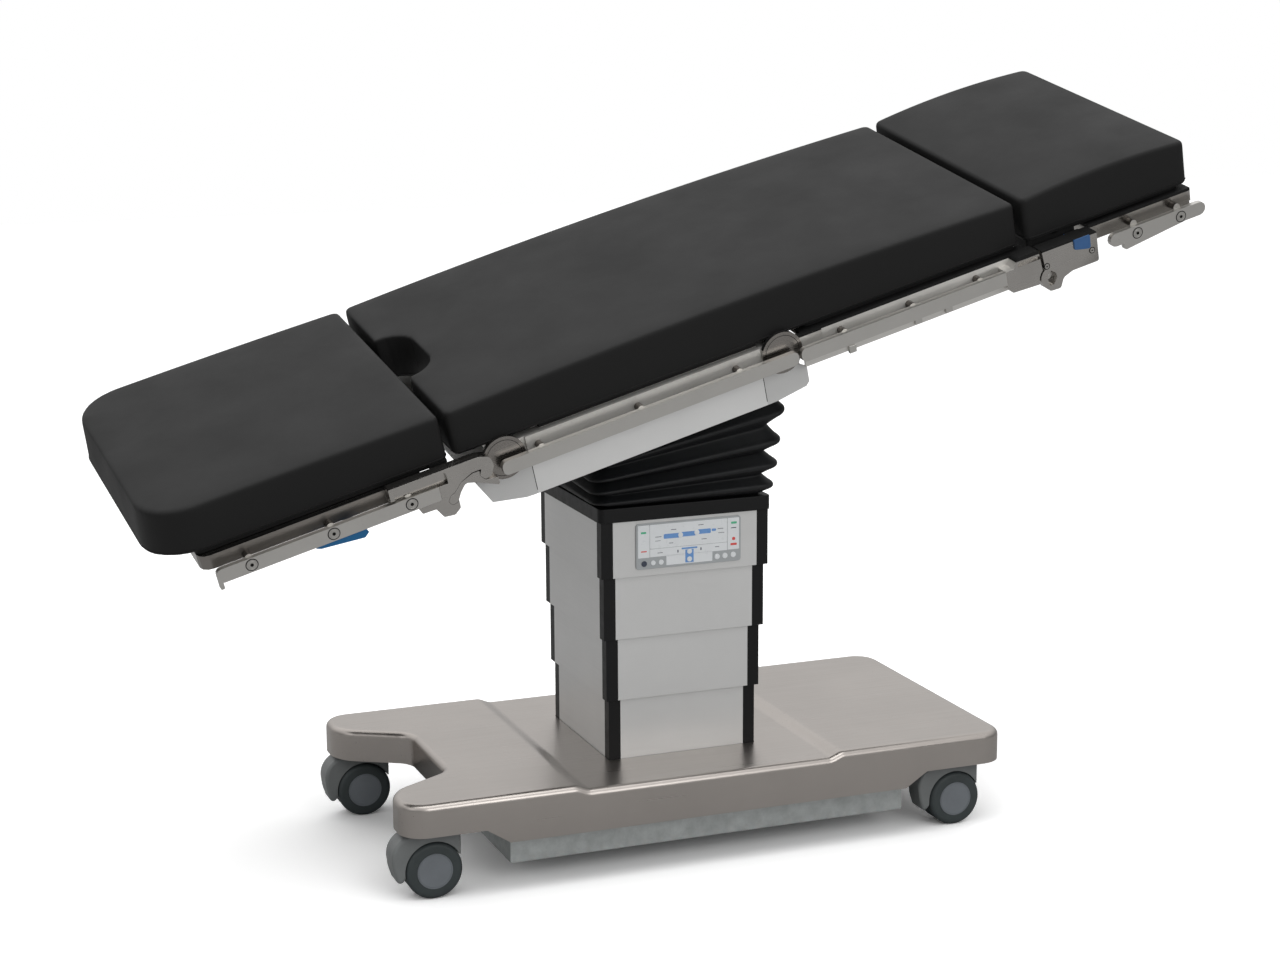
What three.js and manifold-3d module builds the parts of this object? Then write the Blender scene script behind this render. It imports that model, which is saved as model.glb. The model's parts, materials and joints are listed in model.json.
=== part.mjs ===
// Surgical table: wheeled base, telescopic column, gimballed top in four padded sections.
// Millimetres, +Z up. The origin is on the floor under the column, +X points to the head end
// and -Y is the side with the keypad. The table is shown raised, head end up and near side down.

import * as THREE from 'three';
import { mergeVertices } from 'three/addons/utils/BufferGeometryUtils.js';
import Module from 'manifold-3d';

const wasm = await Module();
wasm.setup();

// Running and fitting clearances
const WELD = 1e-4;
const FIT = 0.3;
const SLIDE = 0.5;
const OVERRUN = 5;
const CORNER_STEPS = 3;
const ROUND_STEPS = 20;
const PIN_STEPS = 12;
const degrees = Math.PI / 180;

// Attitude of the top in the picture
const TREND_REST = 16.08 * degrees;
const TILT_REST = 12.61 * degrees;
const PIVOT_Z = 812.5;

// Base cover, a folded stainless lid with a notch for the surgeon's feet at its foot end
const BASE_PLAN = {
  footEnd: -560, headEnd: 586, halfWidth: 285.5, armWidth: 101.5, notchSlope: 74, footSkirt: 187,
  headSkirt: 205,
};
const NOTCH_MOUTH = BASE_PLAN.halfWidth - BASE_PLAN.armWidth;
const BASE = {
  footEnd: BASE_PLAN.footEnd, headEnd: BASE_PLAN.headEnd, halfWidth: BASE_PLAN.halfWidth, wall: 3,
  armTop: 178.5, recessTop: 169.5, recessFoot: -232, recessHead: 233, ramp: 24,
  armSkirt: 121, midSkirt: 94, slant: 42,
  skirtFoot: BASE_PLAN.footEnd + BASE_PLAN.footSkirt, skirtHead: BASE_PLAN.headEnd - BASE_PLAN.headSkirt,
  corner: 45, tipRound: 38, topRound: 12,
  notchDepth: 125, notchHalf: NOTCH_MOUTH - BASE_PLAN.notchSlope, notchMouthHalf: NOTCH_MOUTH,
  notchRound: 22,
};

// Welded chassis under the cover: tray, column plate and four castor beams
const TRAY_INSET = { foot: 12, head: 13, side: 42.5 };
const CHASSIS = {
  footEnd: BASE.skirtFoot + TRAY_INSET.foot, headEnd: BASE.skirtHead + TRAY_INSET.head,
  halfWidth: BASE.halfWidth - TRAY_INSET.side, wall: 3, bottom: 40,
  plateBottom: 98, plateTop: 112, bayMargin: 40,
  beamWidth: 56, beamBottom: 122, beamEndMargin: 14, socketDepth: 30,
  columnPlateHalf: 170,
};
const POWER = { reach: 140, halfWidth: 180, height: 50, footMargin: 30, round: 5 };

// Castors: twin wheels under a hood that turns on a stem
const CASTOR_INSET = { foot: 60, head: 88, side: 56.5 };
const CASTOR = {
  footX: BASE.footEnd + CASTOR_INSET.foot, headX: BASE.headEnd - CASTOR_INSET.head,
  y: BASE.halfWidth - CASTOR_INSET.side, wheelRadius: 50, trail: 18,
  hubRadius: 31.5, webHalf: 4, faceHalf: 28, tyreShoulder: 4, hubBevel: 2.4, axleRadius: 6,
  stemRadius: 11, stemTop: 148, bearingRadius: 20, wellGap: 1.5,
};

// Hood of a castor, measured from the wheel axle along the floor and from the floor up
const HOOD = {
  halfWidth: 23, top: 117, head: 49, headBottom: 72, foot: -77, footTip: -71, tipBottom: 36,
  webBottom: 30, footRound: 20, crownStart: -46, crownEnd: 90, lobe: 70, edge: 2,
};

// Column: four square stages, each upper one sliding down over the one below
const STAGE_COUNT = 4;
const STAGE = {
  halfX: 141.1, halfXStep: 6, halfY: 144.4, halfYStep: 5.55,
  firstBottom: 166.4, pitch: 113.1, shell: 3, engaged: 12, ringHeight: 8, ringInner: 120,
  cornerWidth: 22, cornerDepth: 1.6, travel: 89,
};
const COLLAR = { bottom: 606.5, top: 632, wall: 4.6, opening: 132, lip: 7.6, corner: 12 };
const KEYPAD = { centreX: 5, width: 200, bottom: 518, height: 82, thickness: 2.7, round: 5 };

// Lift ram in the middle of the column
const RAM = { radius: 40, bore: 30, bottom: 46, top: 400, rodRadius: 26, rodBottom: 375, floor: 12 };

// Head of the column: plate, two posts for the trend axis and a bridge over the ram
const HEAD = {
  plateThickness: 7.4, plateMargin: 4, ramHole: 52, postInner: 84, postOuter: 104,
  postHalf: 24, bridgeBottom: 716, bridgeHeight: 18, bridgeHalf: 30,
};
const GIMBAL = { block: 25, trunnion: 12 };

// Concertina cover between column and top
const BELLOWS = {
  peaks: [175, 197], valleys: [143, 158], wall: 5, cornerShare: 0.87, bottomRim: 148, bore: 134,
};
// Heights of the bellows' rings, from its rim on the collar to its rim under the housing
const RING_SHARES = [0, 0.08, 0.175, 0.27, 0.375, 0.475, 0.6, 0.73, 0.87, 1];

// Thicknesses in the table top: up is square to the pads, out is away from its middle line
const TOP_UP = { frame: 25, board: 8.7, pad: 79, railHeight: 25, railSink: 16.5 };
const TOP_OUT = {
  beam: 24, cheekLap: 4, plate: 29.4, recess: 14, railGap: 15.75, rail: 10, pad: 18, board: 10, lever: 8,
  leverEar: 16, housing: 20,
};
const FRAME_BOTTOM = 116;
const BEAM_INNER = 246;
const FRAME_TOP = FRAME_BOTTOM + TOP_UP.frame;
const BOARD_TOP = FRAME_TOP + TOP_UP.board;
const RAIL_BOTTOM = FRAME_BOTTOM - TOP_UP.railSink;
const BEAM_OUTER = BEAM_INNER + TOP_OUT.beam;
const CHEEK_INNER = BEAM_OUTER - TOP_OUT.cheekLap;
const RAIL_INNER = BEAM_OUTER + TOP_OUT.railGap;
// Levels and widths of the table top, measured square to the pads from the gimbal centre
const TOP = {
  frameBottom: FRAME_BOTTOM, frameTop: FRAME_TOP, boardTop: BOARD_TOP,
  padBottom: BOARD_TOP + FIT, padTop: BOARD_TOP + FIT + TOP_UP.pad,
  beamInner: BEAM_INNER, beamOuter: BEAM_OUTER, cheekInner: CHEEK_INNER,
  plateOuter: CHEEK_INNER + TOP_OUT.plate, plateRecess: BEAM_OUTER + TOP_OUT.recess,
  railInner: RAIL_INNER, railOuter: RAIL_INNER + TOP_OUT.rail,
  railBottom: RAIL_BOTTOM, railTop: RAIL_BOTTOM + TOP_UP.railHeight,
  padHalf: BEAM_INNER + TOP_OUT.pad, boardHalf: BEAM_INNER + TOP_OUT.board, crossWidth: 25,
};

// Stations along the table top, foot end negative
const FOOT_JOINT = { u: -375, w: 121 };
const BACK_JOINT = { u: 146, w: 121 };
const HEAD_PIN = { u: 671, w: 84, radius: 8, boss: 21, clearance: 3.5, depth: 11.4 };
// Distances along the top from the head section's pin, and the couplings' drop below it
const FROM_PIN = {
  hookFoot: 89, hookHead: 14, plateFoot: 20, plateHead: 100, backPad: 39.5, headPad: 26, backBeam: 31,
  backBoard: 41, headBoard: 19, latchFoot: 51, latchHead: 84.5, drop: 28, hookRise: 2, plateSink: 2,
};
// Distances along the top from the leg joint
const FROM_LEG_JOINT = {
  couplingFoot: 208, couplingHead: 26, pad: 89.5, board: 95, beam: 140, rail: 125, plateStud: 176,
  seatBeam: 43, seatRail: 13,
};
// Distances along the top from the back joint
const FROM_BACK_JOINT = { seatBeam: 38, seatRail: 20, backBeam: 41 };
// Coupling plates: where each outline starts and ends along the top and square to it. An
// outline's points are shares of that length and height, each with the share of its rounding.
const LEG_COUPLING = {
  foot: FOOT_JOINT.u - FROM_LEG_JOINT.couplingFoot, head: FOOT_JOINT.u - FROM_LEG_JOINT.couplingHead,
  bottom: 65, top: 151,
};
const LEG_HOOK_SHARES = [
  [0, 0.42, 0.02], [0.23, 0.42, 0.02], [0.255, 0.265, 0.03], [0.385, 0.255, 0.03], [0.44, 0.035, 0.05],
  [0.545, 0, 0.06], [0.61, 0.105, 0.06], [0.61, 0.455, 0.05], [0.675, 0.63, 0.07], [0.785, 0.73, 0.05],
  [0.875, 0.73, 0.01], [0.85, 0.605, 0.03], [0.895, 0.49, 0.05], [0.96, 0.525, 0.07], [1, 0.71, 0.12],
  [0.98, 0.92, 0.12], [0.87, 1, 0.14], [0, 1, 0.02],
];
const POCKET_INSET = { foot: 8, reach: 92, top: 3.5 };
const LEG_POCKET = {
  foot: LEG_COUPLING.foot + POCKET_INSET.foot, top: LEG_COUPLING.top - POCKET_INSET.top,
  head: LEG_COUPLING.foot + POCKET_INSET.foot + POCKET_INSET.reach,
  depth: 8, slit: 4.5, slitDepth: 14, round: 3, headRound: 8,
};
const LEG_FINGER_SHARES = [
  [1.015, 0.44, 0.03], [0.89, 0.49, 0.05], [0.85, 0.605, 0.05], [0.857, 0.71, 0.02], [0.785, 0.71, 0.07],
  [0.665, 0.615, 0.09], [0.59, 0.455, 0.05], [0.545, 0.42, 0.05], [0.51, 0.315, 0.06], [0.545, 0.21, 0.06],
  [0.6, 0.245, 0.05], [0.643, 0.41, 0.05], [0.705, 0.565, 0.09], [0.81, 0.49, 0.07], [1.015, 0.27, 0.03],
];
const BACK_COUPLING = {
  foot: HEAD_PIN.u - FROM_PIN.hookFoot, head: HEAD_PIN.u - FROM_PIN.hookHead,
  bottom: HEAD_PIN.w - FROM_PIN.drop, top: TOP.frameTop + FROM_PIN.hookRise,
};
const BACK_HOOK_SHARES = [
  [0, 0.41, 0.02], [0.13, 0.285, 0.05], [1, 0.245, 0], [1, 0.33, 0], [0.91, 1, 0.02], [0.32, 1, 0.12],
  [0.215, 0.787, 0.03], [0, 0.787, 0],
];
const BACK_SCOOP_SHARES = [
  [0.27, 0.8, 0.03], [0.95, 0.8, 0.02], [0.93, 0.865, 0.03], [0.67, 0.92, 0.05], [0.4, 0.915, 0.06],
];
const BACK_NOSE_SHARES = [
  [0.24, 0.49, 0.02], [0.8, 0.24, 0.03], [1.19, 0.16, 0.02], [1.3, 0.49, 0.02], [0.8, 0.977, 0.02],
  [0.24, 0.977, 0.02],
];
const HEAD_COUPLING = {
  foot: HEAD_PIN.u - FROM_PIN.plateFoot, head: HEAD_PIN.u + FROM_PIN.plateHead,
  bottom: HEAD_PIN.w - FROM_PIN.drop, top: TOP.frameTop - FROM_PIN.plateSink,
};
const HEAD_PLATE_SHARES = [
  [0.11, 0.02, 0.06], [0.31, 0, 0.07], [0.375, 0.22, 0.12], [0.54, 0.3, 0.12], [1, 0.3, 0.05], [1, 1, 0.03],
  [0.045, 1, 0.02], [0.1, 0.34, 0],
];
// Mouth of the hole that the head section's pin stands in, in shares like the plate's
const PIN_MOUTH_SHARES = [
  [0.115, 0.17, 0.04], [0.19, 0.125, 0.04], [0.26, 0.28, 0.06], [0.25, 0.39, 0.05], [0.165, 0.5, 0.04],
  [0.105, 0.4, 0.04],
];
const DISC = { radius: 38, thickness: 8, shaft: 14, lug: 28 };
// Lengths of the sections' pieces, and what is set in from the end of one to the end of another
const LEG_SPAN = { pad: 502.5, board: 67, rail: 83, studFoot: 58, studHead: 186 };
const LEG_PAD_HEAD = FOOT_JOINT.u - FROM_LEG_JOINT.pad;
const LEG_PAD_FOOT = LEG_PAD_HEAD - LEG_SPAN.pad;
const LEG_RAIL = { foot: LEG_PAD_FOOT + LEG_SPAN.rail, head: FOOT_JOINT.u - FROM_LEG_JOINT.rail };
const LEG = {
  padFoot: LEG_PAD_FOOT, padHead: LEG_PAD_HEAD, boardFoot: LEG_PAD_FOOT + LEG_SPAN.board,
  boardHead: FOOT_JOINT.u - FROM_LEG_JOINT.board, beamHead: FOOT_JOINT.u - FROM_LEG_JOINT.beam,
  railFoot: LEG_RAIL.foot, railHead: LEG_RAIL.head,
  studs: [LEG_RAIL.foot + LEG_SPAN.studFoot, LEG_RAIL.head - LEG_SPAN.studHead],
  plateStud: FOOT_JOINT.u - FROM_LEG_JOINT.plateStud, round: 86, frameRound: 20,
};
const SEAT_SPAN = {
  padGap: 11, cross: 32, ledge: 13.5, studFoot: 76, studPitch: 184, studHead: 108,
};
const SEAT_PAD_FOOT = LEG_PAD_HEAD + SEAT_SPAN.padGap;
const SEAT_BEAM_FOOT = FOOT_JOINT.u + FROM_LEG_JOINT.seatBeam;
const SEAT_RAIL = {
  foot: FOOT_JOINT.u - FROM_LEG_JOINT.seatRail, head: BACK_JOINT.u + FROM_BACK_JOINT.seatRail,
};
const SEAT = {
  padFoot: SEAT_PAD_FOOT, beamFoot: SEAT_BEAM_FOOT, beamHead: BACK_JOINT.u - FROM_BACK_JOINT.seatBeam,
  crossFoot: SEAT_BEAM_FOOT + SEAT_SPAN.cross, ledgeFoot: SEAT_PAD_FOOT + SEAT_SPAN.ledge,
  ledgeInner: 110, ledgeOuter: 220, railFoot: SEAT_RAIL.foot, railHead: SEAT_RAIL.head,
  studs: [SEAT_RAIL.foot + SEAT_SPAN.studFoot, SEAT_RAIL.foot + SEAT_SPAN.studFoot + SEAT_SPAN.studPitch,
    SEAT_RAIL.head - SEAT_SPAN.studHead],
  notchDepth: 55, notchHalf: 89, notchRound: 52,
};
const BACK_SPAN = {
  board: 13, railGap: 5.5, studFoot: 90.5, studPitch: 136, studHead: 47.7, cross: 13, crossPitch: 188,
  crossHead: 65, skirtHead: 40,
};
const BACK_BEAM = { foot: BACK_JOINT.u + FROM_BACK_JOINT.backBeam, head: HEAD_PIN.u - FROM_PIN.backBeam };
const BACK_RAIL = { foot: SEAT_RAIL.head + BACK_SPAN.railGap, head: BACK_COUPLING.foot - FIT };
const BACK_CROSS = BACK_BEAM.foot + BACK_SPAN.cross;
const BACK = {
  padHead: HEAD_PIN.u - FROM_PIN.backPad, beamFoot: BACK_BEAM.foot, beamHead: BACK_BEAM.head,
  boardFoot: BACK_BEAM.foot + BACK_SPAN.board, boardHead: HEAD_PIN.u - FROM_PIN.backBoard,
  railFoot: BACK_RAIL.foot, railHead: BACK_RAIL.head,
  studs: [BACK_RAIL.foot + BACK_SPAN.studFoot, BACK_RAIL.foot + BACK_SPAN.studFoot + BACK_SPAN.studPitch,
    BACK_RAIL.head - BACK_SPAN.studHead],
  crossAt: [BACK_CROSS, BACK_CROSS + BACK_SPAN.crossPitch, BACK_BEAM.head - BACK_SPAN.crossHead],
  armHeight: 26, skirt: 4, skirtBottom: 76, skirtHead: BACK_BEAM.head - BACK_SPAN.skirtHead,
};
const HEAD_SPAN = {
  lap: 1, beam: 218, pad: 3, board: 13, railFoot: 27.5, railHead: 13, studFoot: 56.5, studHead: 54,
  keelFoot: 28.5, keelHead: 43,
};
const HEAD_BEAM_FOOT = HEAD_COUPLING.head - HEAD_SPAN.lap;
const HEAD_BEAM_HEAD = HEAD_BEAM_FOOT + HEAD_SPAN.beam;
const HEAD_RAIL = { foot: HEAD_BEAM_FOOT + HEAD_SPAN.railFoot, head: HEAD_BEAM_HEAD + HEAD_SPAN.railHead };
const HEADREST = {
  padFoot: HEAD_PIN.u - FROM_PIN.headPad, padHead: HEAD_BEAM_HEAD - HEAD_SPAN.pad,
  beamFoot: HEAD_BEAM_FOOT, beamHead: HEAD_BEAM_HEAD,
  boardFoot: HEAD_PIN.u + FROM_PIN.headBoard, boardHead: HEAD_BEAM_HEAD - HEAD_SPAN.board,
  railFoot: HEAD_RAIL.foot, railHead: HEAD_RAIL.head,
  studs: [HEAD_RAIL.foot + HEAD_SPAN.studFoot, HEAD_RAIL.head - HEAD_SPAN.studHead],
  crossAt: [HEAD_BEAM_FOOT, HEAD_BEAM_HEAD - TOP.crossWidth], railDrop: 5,
};
const BEND_HALF = 85;
const PAD_GAP = 0.4;
const PAD = {
  corner: 12, headCorner: 18, edge: 6, waist: 1.5, bevel: 9, longCrown: 12, headCrown: 9, legCrown: 2,
  endSteps: 5, spans: 12,
};

// Lugs that hang the seat frame on the gimbal
const LUG = { inner: 78, outer: 102, half: 22, crossBottom: 60, footInner: 150, footOuter: 180 };

// Grey housing round the seat joints
const HOUSING = {
  bottom: 21, wall: 2.5, top: 91, halfWidth: TOP.beamOuter - TOP_OUT.housing,
  creaseFoot: -329, creaseHead: 113,
  footTip: -424, footTipW: 78, footShoulder: -404, footLow: -404, footLowW: 33, bottomFoot: -345,
  bottomHead: 136, headLow: 193, headLowW: 27, headEnd: 200, headEndLow: 34, headEndTop: 64,
  headShoulder: 160, footHalf: 244, headHalf: 246, opening: 132, sillW: 58,
};

// Accessory rail and stand-off studs
const RAIL = {
  endRound: 9, fullRound: 12.3, stud: 7, studDrop: 3.5, toothDepth: 10.5, toothWidth: 7, toothRound: 2,
  keelFoot: HEAD_RAIL.foot + HEAD_SPAN.keelFoot, keelHead: HEAD_RAIL.head - HEAD_SPAN.keelHead,
  keelDepth: 13, keelRound: 4,
};

// Latch buttons of the head section and release lever of the leg section
const LATCH_FIT = { drop: 28, inward: 4, proud: 3.1 };
const LATCH = {
  foot: HEAD_PIN.u + FROM_PIN.latchFoot, head: HEAD_PIN.u + FROM_PIN.latchHead,
  low: HEAD_COUPLING.top - LATCH_FIT.drop, high: HEAD_COUPLING.top, inner: TOP.cheekInner - LATCH_FIT.inward,
  outer: TOP.plateOuter + LATCH_FIT.proud, round: 4, sag: 8,
};
const LEVER = {
  foot: -719, head: -627, pivotU: -650, pivotW: 105, pin: 4,
  inner: TOP.beamOuter - TOP_OUT.lever, outer: TOP.plateRecess,
  lugInner: TOP.beamOuter - TOP_OUT.leverEar,
  footW: 92, headTop: 99, headMid: 86.5, low: 79, lugHalf: 9, earHalf: 8,
  tipRound: 0.5, edgeRound: 2,
};

// Colours of the finishes
const FINISH = {
  steel: { color: 0xa9a7a3, roughness: 0.32, metalness: 0.9 },
  baseSteel: { color: 0x9c9993, roughness: 0.42, metalness: 0.75 },
  galvanised: { color: 0x8b9090, roughness: 0.5, metalness: 0.6 },
  panel: { color: 0xb4b4b4, roughness: 0.4, metalness: 0.6 },
  blackPlastic: { color: 0x141516, roughness: 0.5, metalness: 0 },
  bellows: { color: 0x101315, roughness: 0.55, metalness: 0 },
  pad: { color: 0x2d2d2d, roughness: 0.5, metalness: 0 },
  board: { color: 0x1b1b1c, roughness: 0.6, metalness: 0 },
  housing: { color: 0xb4b4b2, roughness: 0.5, metalness: 0 },
  hood: { color: 0x6f7172, roughness: 0.5, metalness: 0 },
  hub: { color: 0x686c6c, roughness: 0.5, metalness: 0 },
  tyre: { color: 0x2e3435, roughness: 0.7, metalness: 0 },
  lever: { color: 0x0a6ea0, roughness: 0.4, metalness: 0 },
  latch: { color: 0x4a6a94, roughness: 0.4, metalness: 0 },
  keypad: { color: 0xd8dadb, roughness: 0.4, metalness: 0 },
  ram: { color: 0x7d8082, roughness: 0.3, metalness: 0.9 },
};

// Values that follow from the sizes above
const stageHalf = (n) => [STAGE.halfX + STAGE.halfXStep * n, STAGE.halfY + STAGE.halfYStep * n];
const stageBottom = (n) => STAGE.firstBottom + STAGE.pitch * n;
const COLUMN_TOP = stageBottom(STAGE_COUNT - 1) + STAGE.engaged + STAGE.travel + STAGE.ringHeight + 2 * FIT;
const PLATE_BOTTOM = COLUMN_TOP + FIT;
const stageTop = (n) => (n < STAGE_COUNT - 1 ? stageBottom(n + 1) + STAGE.engaged : COLUMN_TOP);
const BEAM_TOP = BASE.recessTop - BASE.wall - FIT;

function toSolid(geometry) {
  const bare = geometry.index ? geometry.toNonIndexed() : geometry.clone();
  for (const name of Object.keys(bare.attributes)) {
    if (name !== 'position') bare.deleteAttribute(name);
  }
  const welded = mergeVertices(bare, WELD);
  return new wasm.Manifold(new wasm.Mesh({
    numProp: 3,
    vertProperties: new Float32Array(welded.attributes.position.array),
    triVerts: new Uint32Array(welded.index.array),
  }));
}

function fromSolid(solid) {
  const mesh = solid.getMesh();
  const geometry = new THREE.BufferGeometry();
  geometry.setAttribute('position', new THREE.BufferAttribute(mesh.vertProperties, 3));
  geometry.setIndex(new THREE.BufferAttribute(mesh.triVerts, 1));
  return geometry;
}

const join = (...parts) => fromSolid(parts.map(toSolid).reduce((a, b) => a.add(b)));
const cut = (body, ...tools) => fromSolid(tools.map(toSolid).reduce((a, b) => a.subtract(b), toSolid(body)));
const common = (a, b) => fromSolid(toSolid(a).intersect(toSolid(b)));

function block([x0, x1], [y0, y1], [z0, z1]) {
  const box = new THREE.BoxGeometry(x1 - x0, y1 - y0, z1 - z0);
  return box.translate((x0 + x1) / 2, (y0 + y1) / 2, (z0 + z1) / 2);
}

// Closed outline with rounded corners. Each corner is [x, y, radius], anticlockwise, and the
// whole outline can be drawn in (or let out) by an inset.
function roundedLoop(corners, inset = 0, steps = CORNER_STEPS) {
  const count = corners.length;
  const edge = (i) => {
    const [ax, ay] = corners[i];
    const [bx, by] = corners[(i + 1) % count];
    const length = Math.hypot(bx - ax, by - ay);
    return { x: (bx - ax) / length, y: (by - ay) / length, ax, ay };
  };
  const loop = [];
  for (let i = 0; i < count; i += 1) {
    const before = edge((i + count - 1) % count);
    const after = edge(i);
    const turn = before.x * after.y - before.y * after.x;
    const cosine = before.x * after.x + before.y * after.y;
    const half = inset / (1 + cosine);
    const x = after.ax - (before.y + after.y) * half;
    const y = after.ay + (before.x + after.x) * half;
    if (corners[i][2] === 0) {
      loop.push(new THREE.Vector2(x, y));
      continue;
    }
    const radius = Math.max(corners[i][2] + (turn > 0 ? -inset : inset), FIT);
    const tangent = radius * Math.tan(Math.acos(THREE.MathUtils.clamp(cosine, -1, 1)) / 2);
    const side = Math.sign(turn);
    const cx = x - before.x * tangent - before.y * radius * side;
    const cy = y - before.y * tangent + before.x * radius * side;
    const start = Math.atan2(-before.x * side, before.y * side);
    const sweep = Math.atan2(turn, cosine);
    for (let k = 0; k <= steps; k += 1) {
      const angle = start + (sweep * k) / steps;
      loop.push(new THREE.Vector2(cx + radius * Math.cos(angle), cy + radius * Math.sin(angle)));
    }
  }
  return loop;
}

// Upright slab from an outline in plan
function slab(loop, z0, z1) {
  const geometry = new THREE.ExtrudeGeometry(new THREE.Shape(loop), { depth: z1 - z0, bevelEnabled: false });
  return geometry.translate(0, 0, z0);
}

// Slab on edge: an outline in X and Z, spread from y0 to y1
function sideSlab(loop, y0, y1) {
  const geometry = new THREE.ExtrudeGeometry(new THREE.Shape(loop), { depth: y1 - y0, bevelEnabled: false });
  return geometry.rotateX(Math.PI / 2).translate(0, y1, 0);
}

// The same on both sides of the table, from |y| = inner to |y| = outer
const bothSides = (loop, inner, outer) => join(sideSlab(loop, inner, outer), sideSlab(loop, -outer, -inner));

// Round bar along Y, or along X
function barY(radius, x, z, y0, y1, steps = ROUND_STEPS) {
  return new THREE.CylinderGeometry(radius, radius, y1 - y0, steps).translate(x, (y0 + y1) / 2, z);
}

function barX(radius, x0, x1, y, z, steps = ROUND_STEPS) {
  const bar = new THREE.CylinderGeometry(radius, radius, x1 - x0, steps).rotateZ(Math.PI / 2);
  return bar.translate((x0 + x1) / 2, y, z);
}

function barZ(radius, x, y, z0, z1, steps = ROUND_STEPS) {
  const bar = new THREE.CylinderGeometry(radius, radius, z1 - z0, steps).rotateX(Math.PI / 2);
  return bar.translate(x, y, (z0 + z1) / 2);
}

const rectangle = (x0, x1, y0, y1, radius = 0) =>
  [[x0, y0], [x1, y0], [x1, y1], [x0, y1]].map((corner) => [...corner, radius]);

// Solid skinned over rings of equally many points, each ring a list of Vector3
function skin(rings) {
  const count = rings[0].length;
  const positions = rings.flat().flatMap((p) => [p.x, p.y, p.z]);
  const index = [];
  for (let r = 0; r + 1 < rings.length; r += 1) {
    for (let i = 0; i < count; i += 1) {
      const [a, b] = [r * count + i, r * count + ((i + 1) % count)];
      index.push(a, b, b + count, a, b + count, a + count);
    }
  }
  const cap = (ring, base, flip) => {
    const faces = THREE.ShapeUtils.triangulateShape(ring.map((p) => new THREE.Vector2(p.x, p.y)), []);
    for (const [a, b, c] of faces) {
      index.push(...(flip ? [a, c, b] : [a, b, c]).map((i) => base + i));
    }
  };
  cap(rings[0], 0, true);
  cap(rings[rings.length - 1], (rings.length - 1) * count, false);
  const geometry = new THREE.BufferGeometry();
  geometry.setAttribute('position', new THREE.Float32BufferAttribute(positions, 3));
  geometry.setIndex(index);
  return geometry;
}

// Base cover

function basePlan(inset) {
  const b = BASE;
  const notch = b.footEnd + b.notchDepth;
  return roundedLoop([
    [b.footEnd, -b.halfWidth, b.corner], [b.headEnd, -b.halfWidth, b.corner],
    [b.headEnd, b.halfWidth, b.corner], [b.footEnd, b.halfWidth, b.corner],
    [b.footEnd, b.notchMouthHalf, b.tipRound], [notch, b.notchHalf, b.notchRound],
    [notch, -b.notchHalf, b.notchRound], [b.footEnd, -b.notchMouthHalf, b.tipRound],
  ], inset);
}

function baseProfile(drop, deep) {
  const b = BASE;
  const [foot, head] = [b.footEnd - b.slant, b.headEnd + b.slant];
  const [low, mid] = [b.armSkirt - deep, b.midSkirt - deep];
  return roundedLoop([
    [foot, low, 0], [b.skirtFoot - b.slant, low, 0], [b.skirtFoot, mid, 0],
    [b.skirtHead, mid, 0], [b.skirtHead + b.slant, low, 0], [head, low, 0],
    [head, b.armTop - drop, 0], [b.recessHead + b.ramp, b.armTop - drop, 0],
    [b.recessHead, b.recessTop - drop, 0], [b.recessFoot, b.recessTop - drop, 0],
    [b.recessFoot - b.ramp, b.armTop - drop, 0], [foot, b.armTop - drop, 0],
  ]);
}

function baseCover() {
  const b = BASE;
  const [hx, hy] = stageHalf(0);
  const bend = [0, 30, 60, 90].map((angle) => [
    b.topRound * (1 - Math.cos(angle * degrees)), b.topRound * (1 - Math.sin(angle * degrees)),
  ]);
  const rings = [[0, b.midSkirt - OVERRUN], ...bend.map(([inset, fall]) => [inset, b.armTop - fall])];
  const outer = skin(rings.map(([inset, z]) => basePlan(inset).map((p) => new THREE.Vector3(p.x, p.y, z))));
  const shape = common(outer, sideSlab(baseProfile(0, 0), -b.halfWidth - OVERRUN, b.halfWidth + OVERRUN));
  const inner = common(
    slab(basePlan(b.wall), b.midSkirt - 2 * OVERRUN, b.armTop),
    sideSlab(baseProfile(b.wall, 2 * OVERRUN), -b.halfWidth, b.halfWidth),
  );
  const well = block([-hx - SLIDE, hx + SLIDE], [-hy - SLIDE, hy + SLIDE], [b.midSkirt, b.armTop]);
  return cut(shape, inner, well);
}

// Chassis: tray, column plate with two bays, beams with sockets for the castor stems

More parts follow.
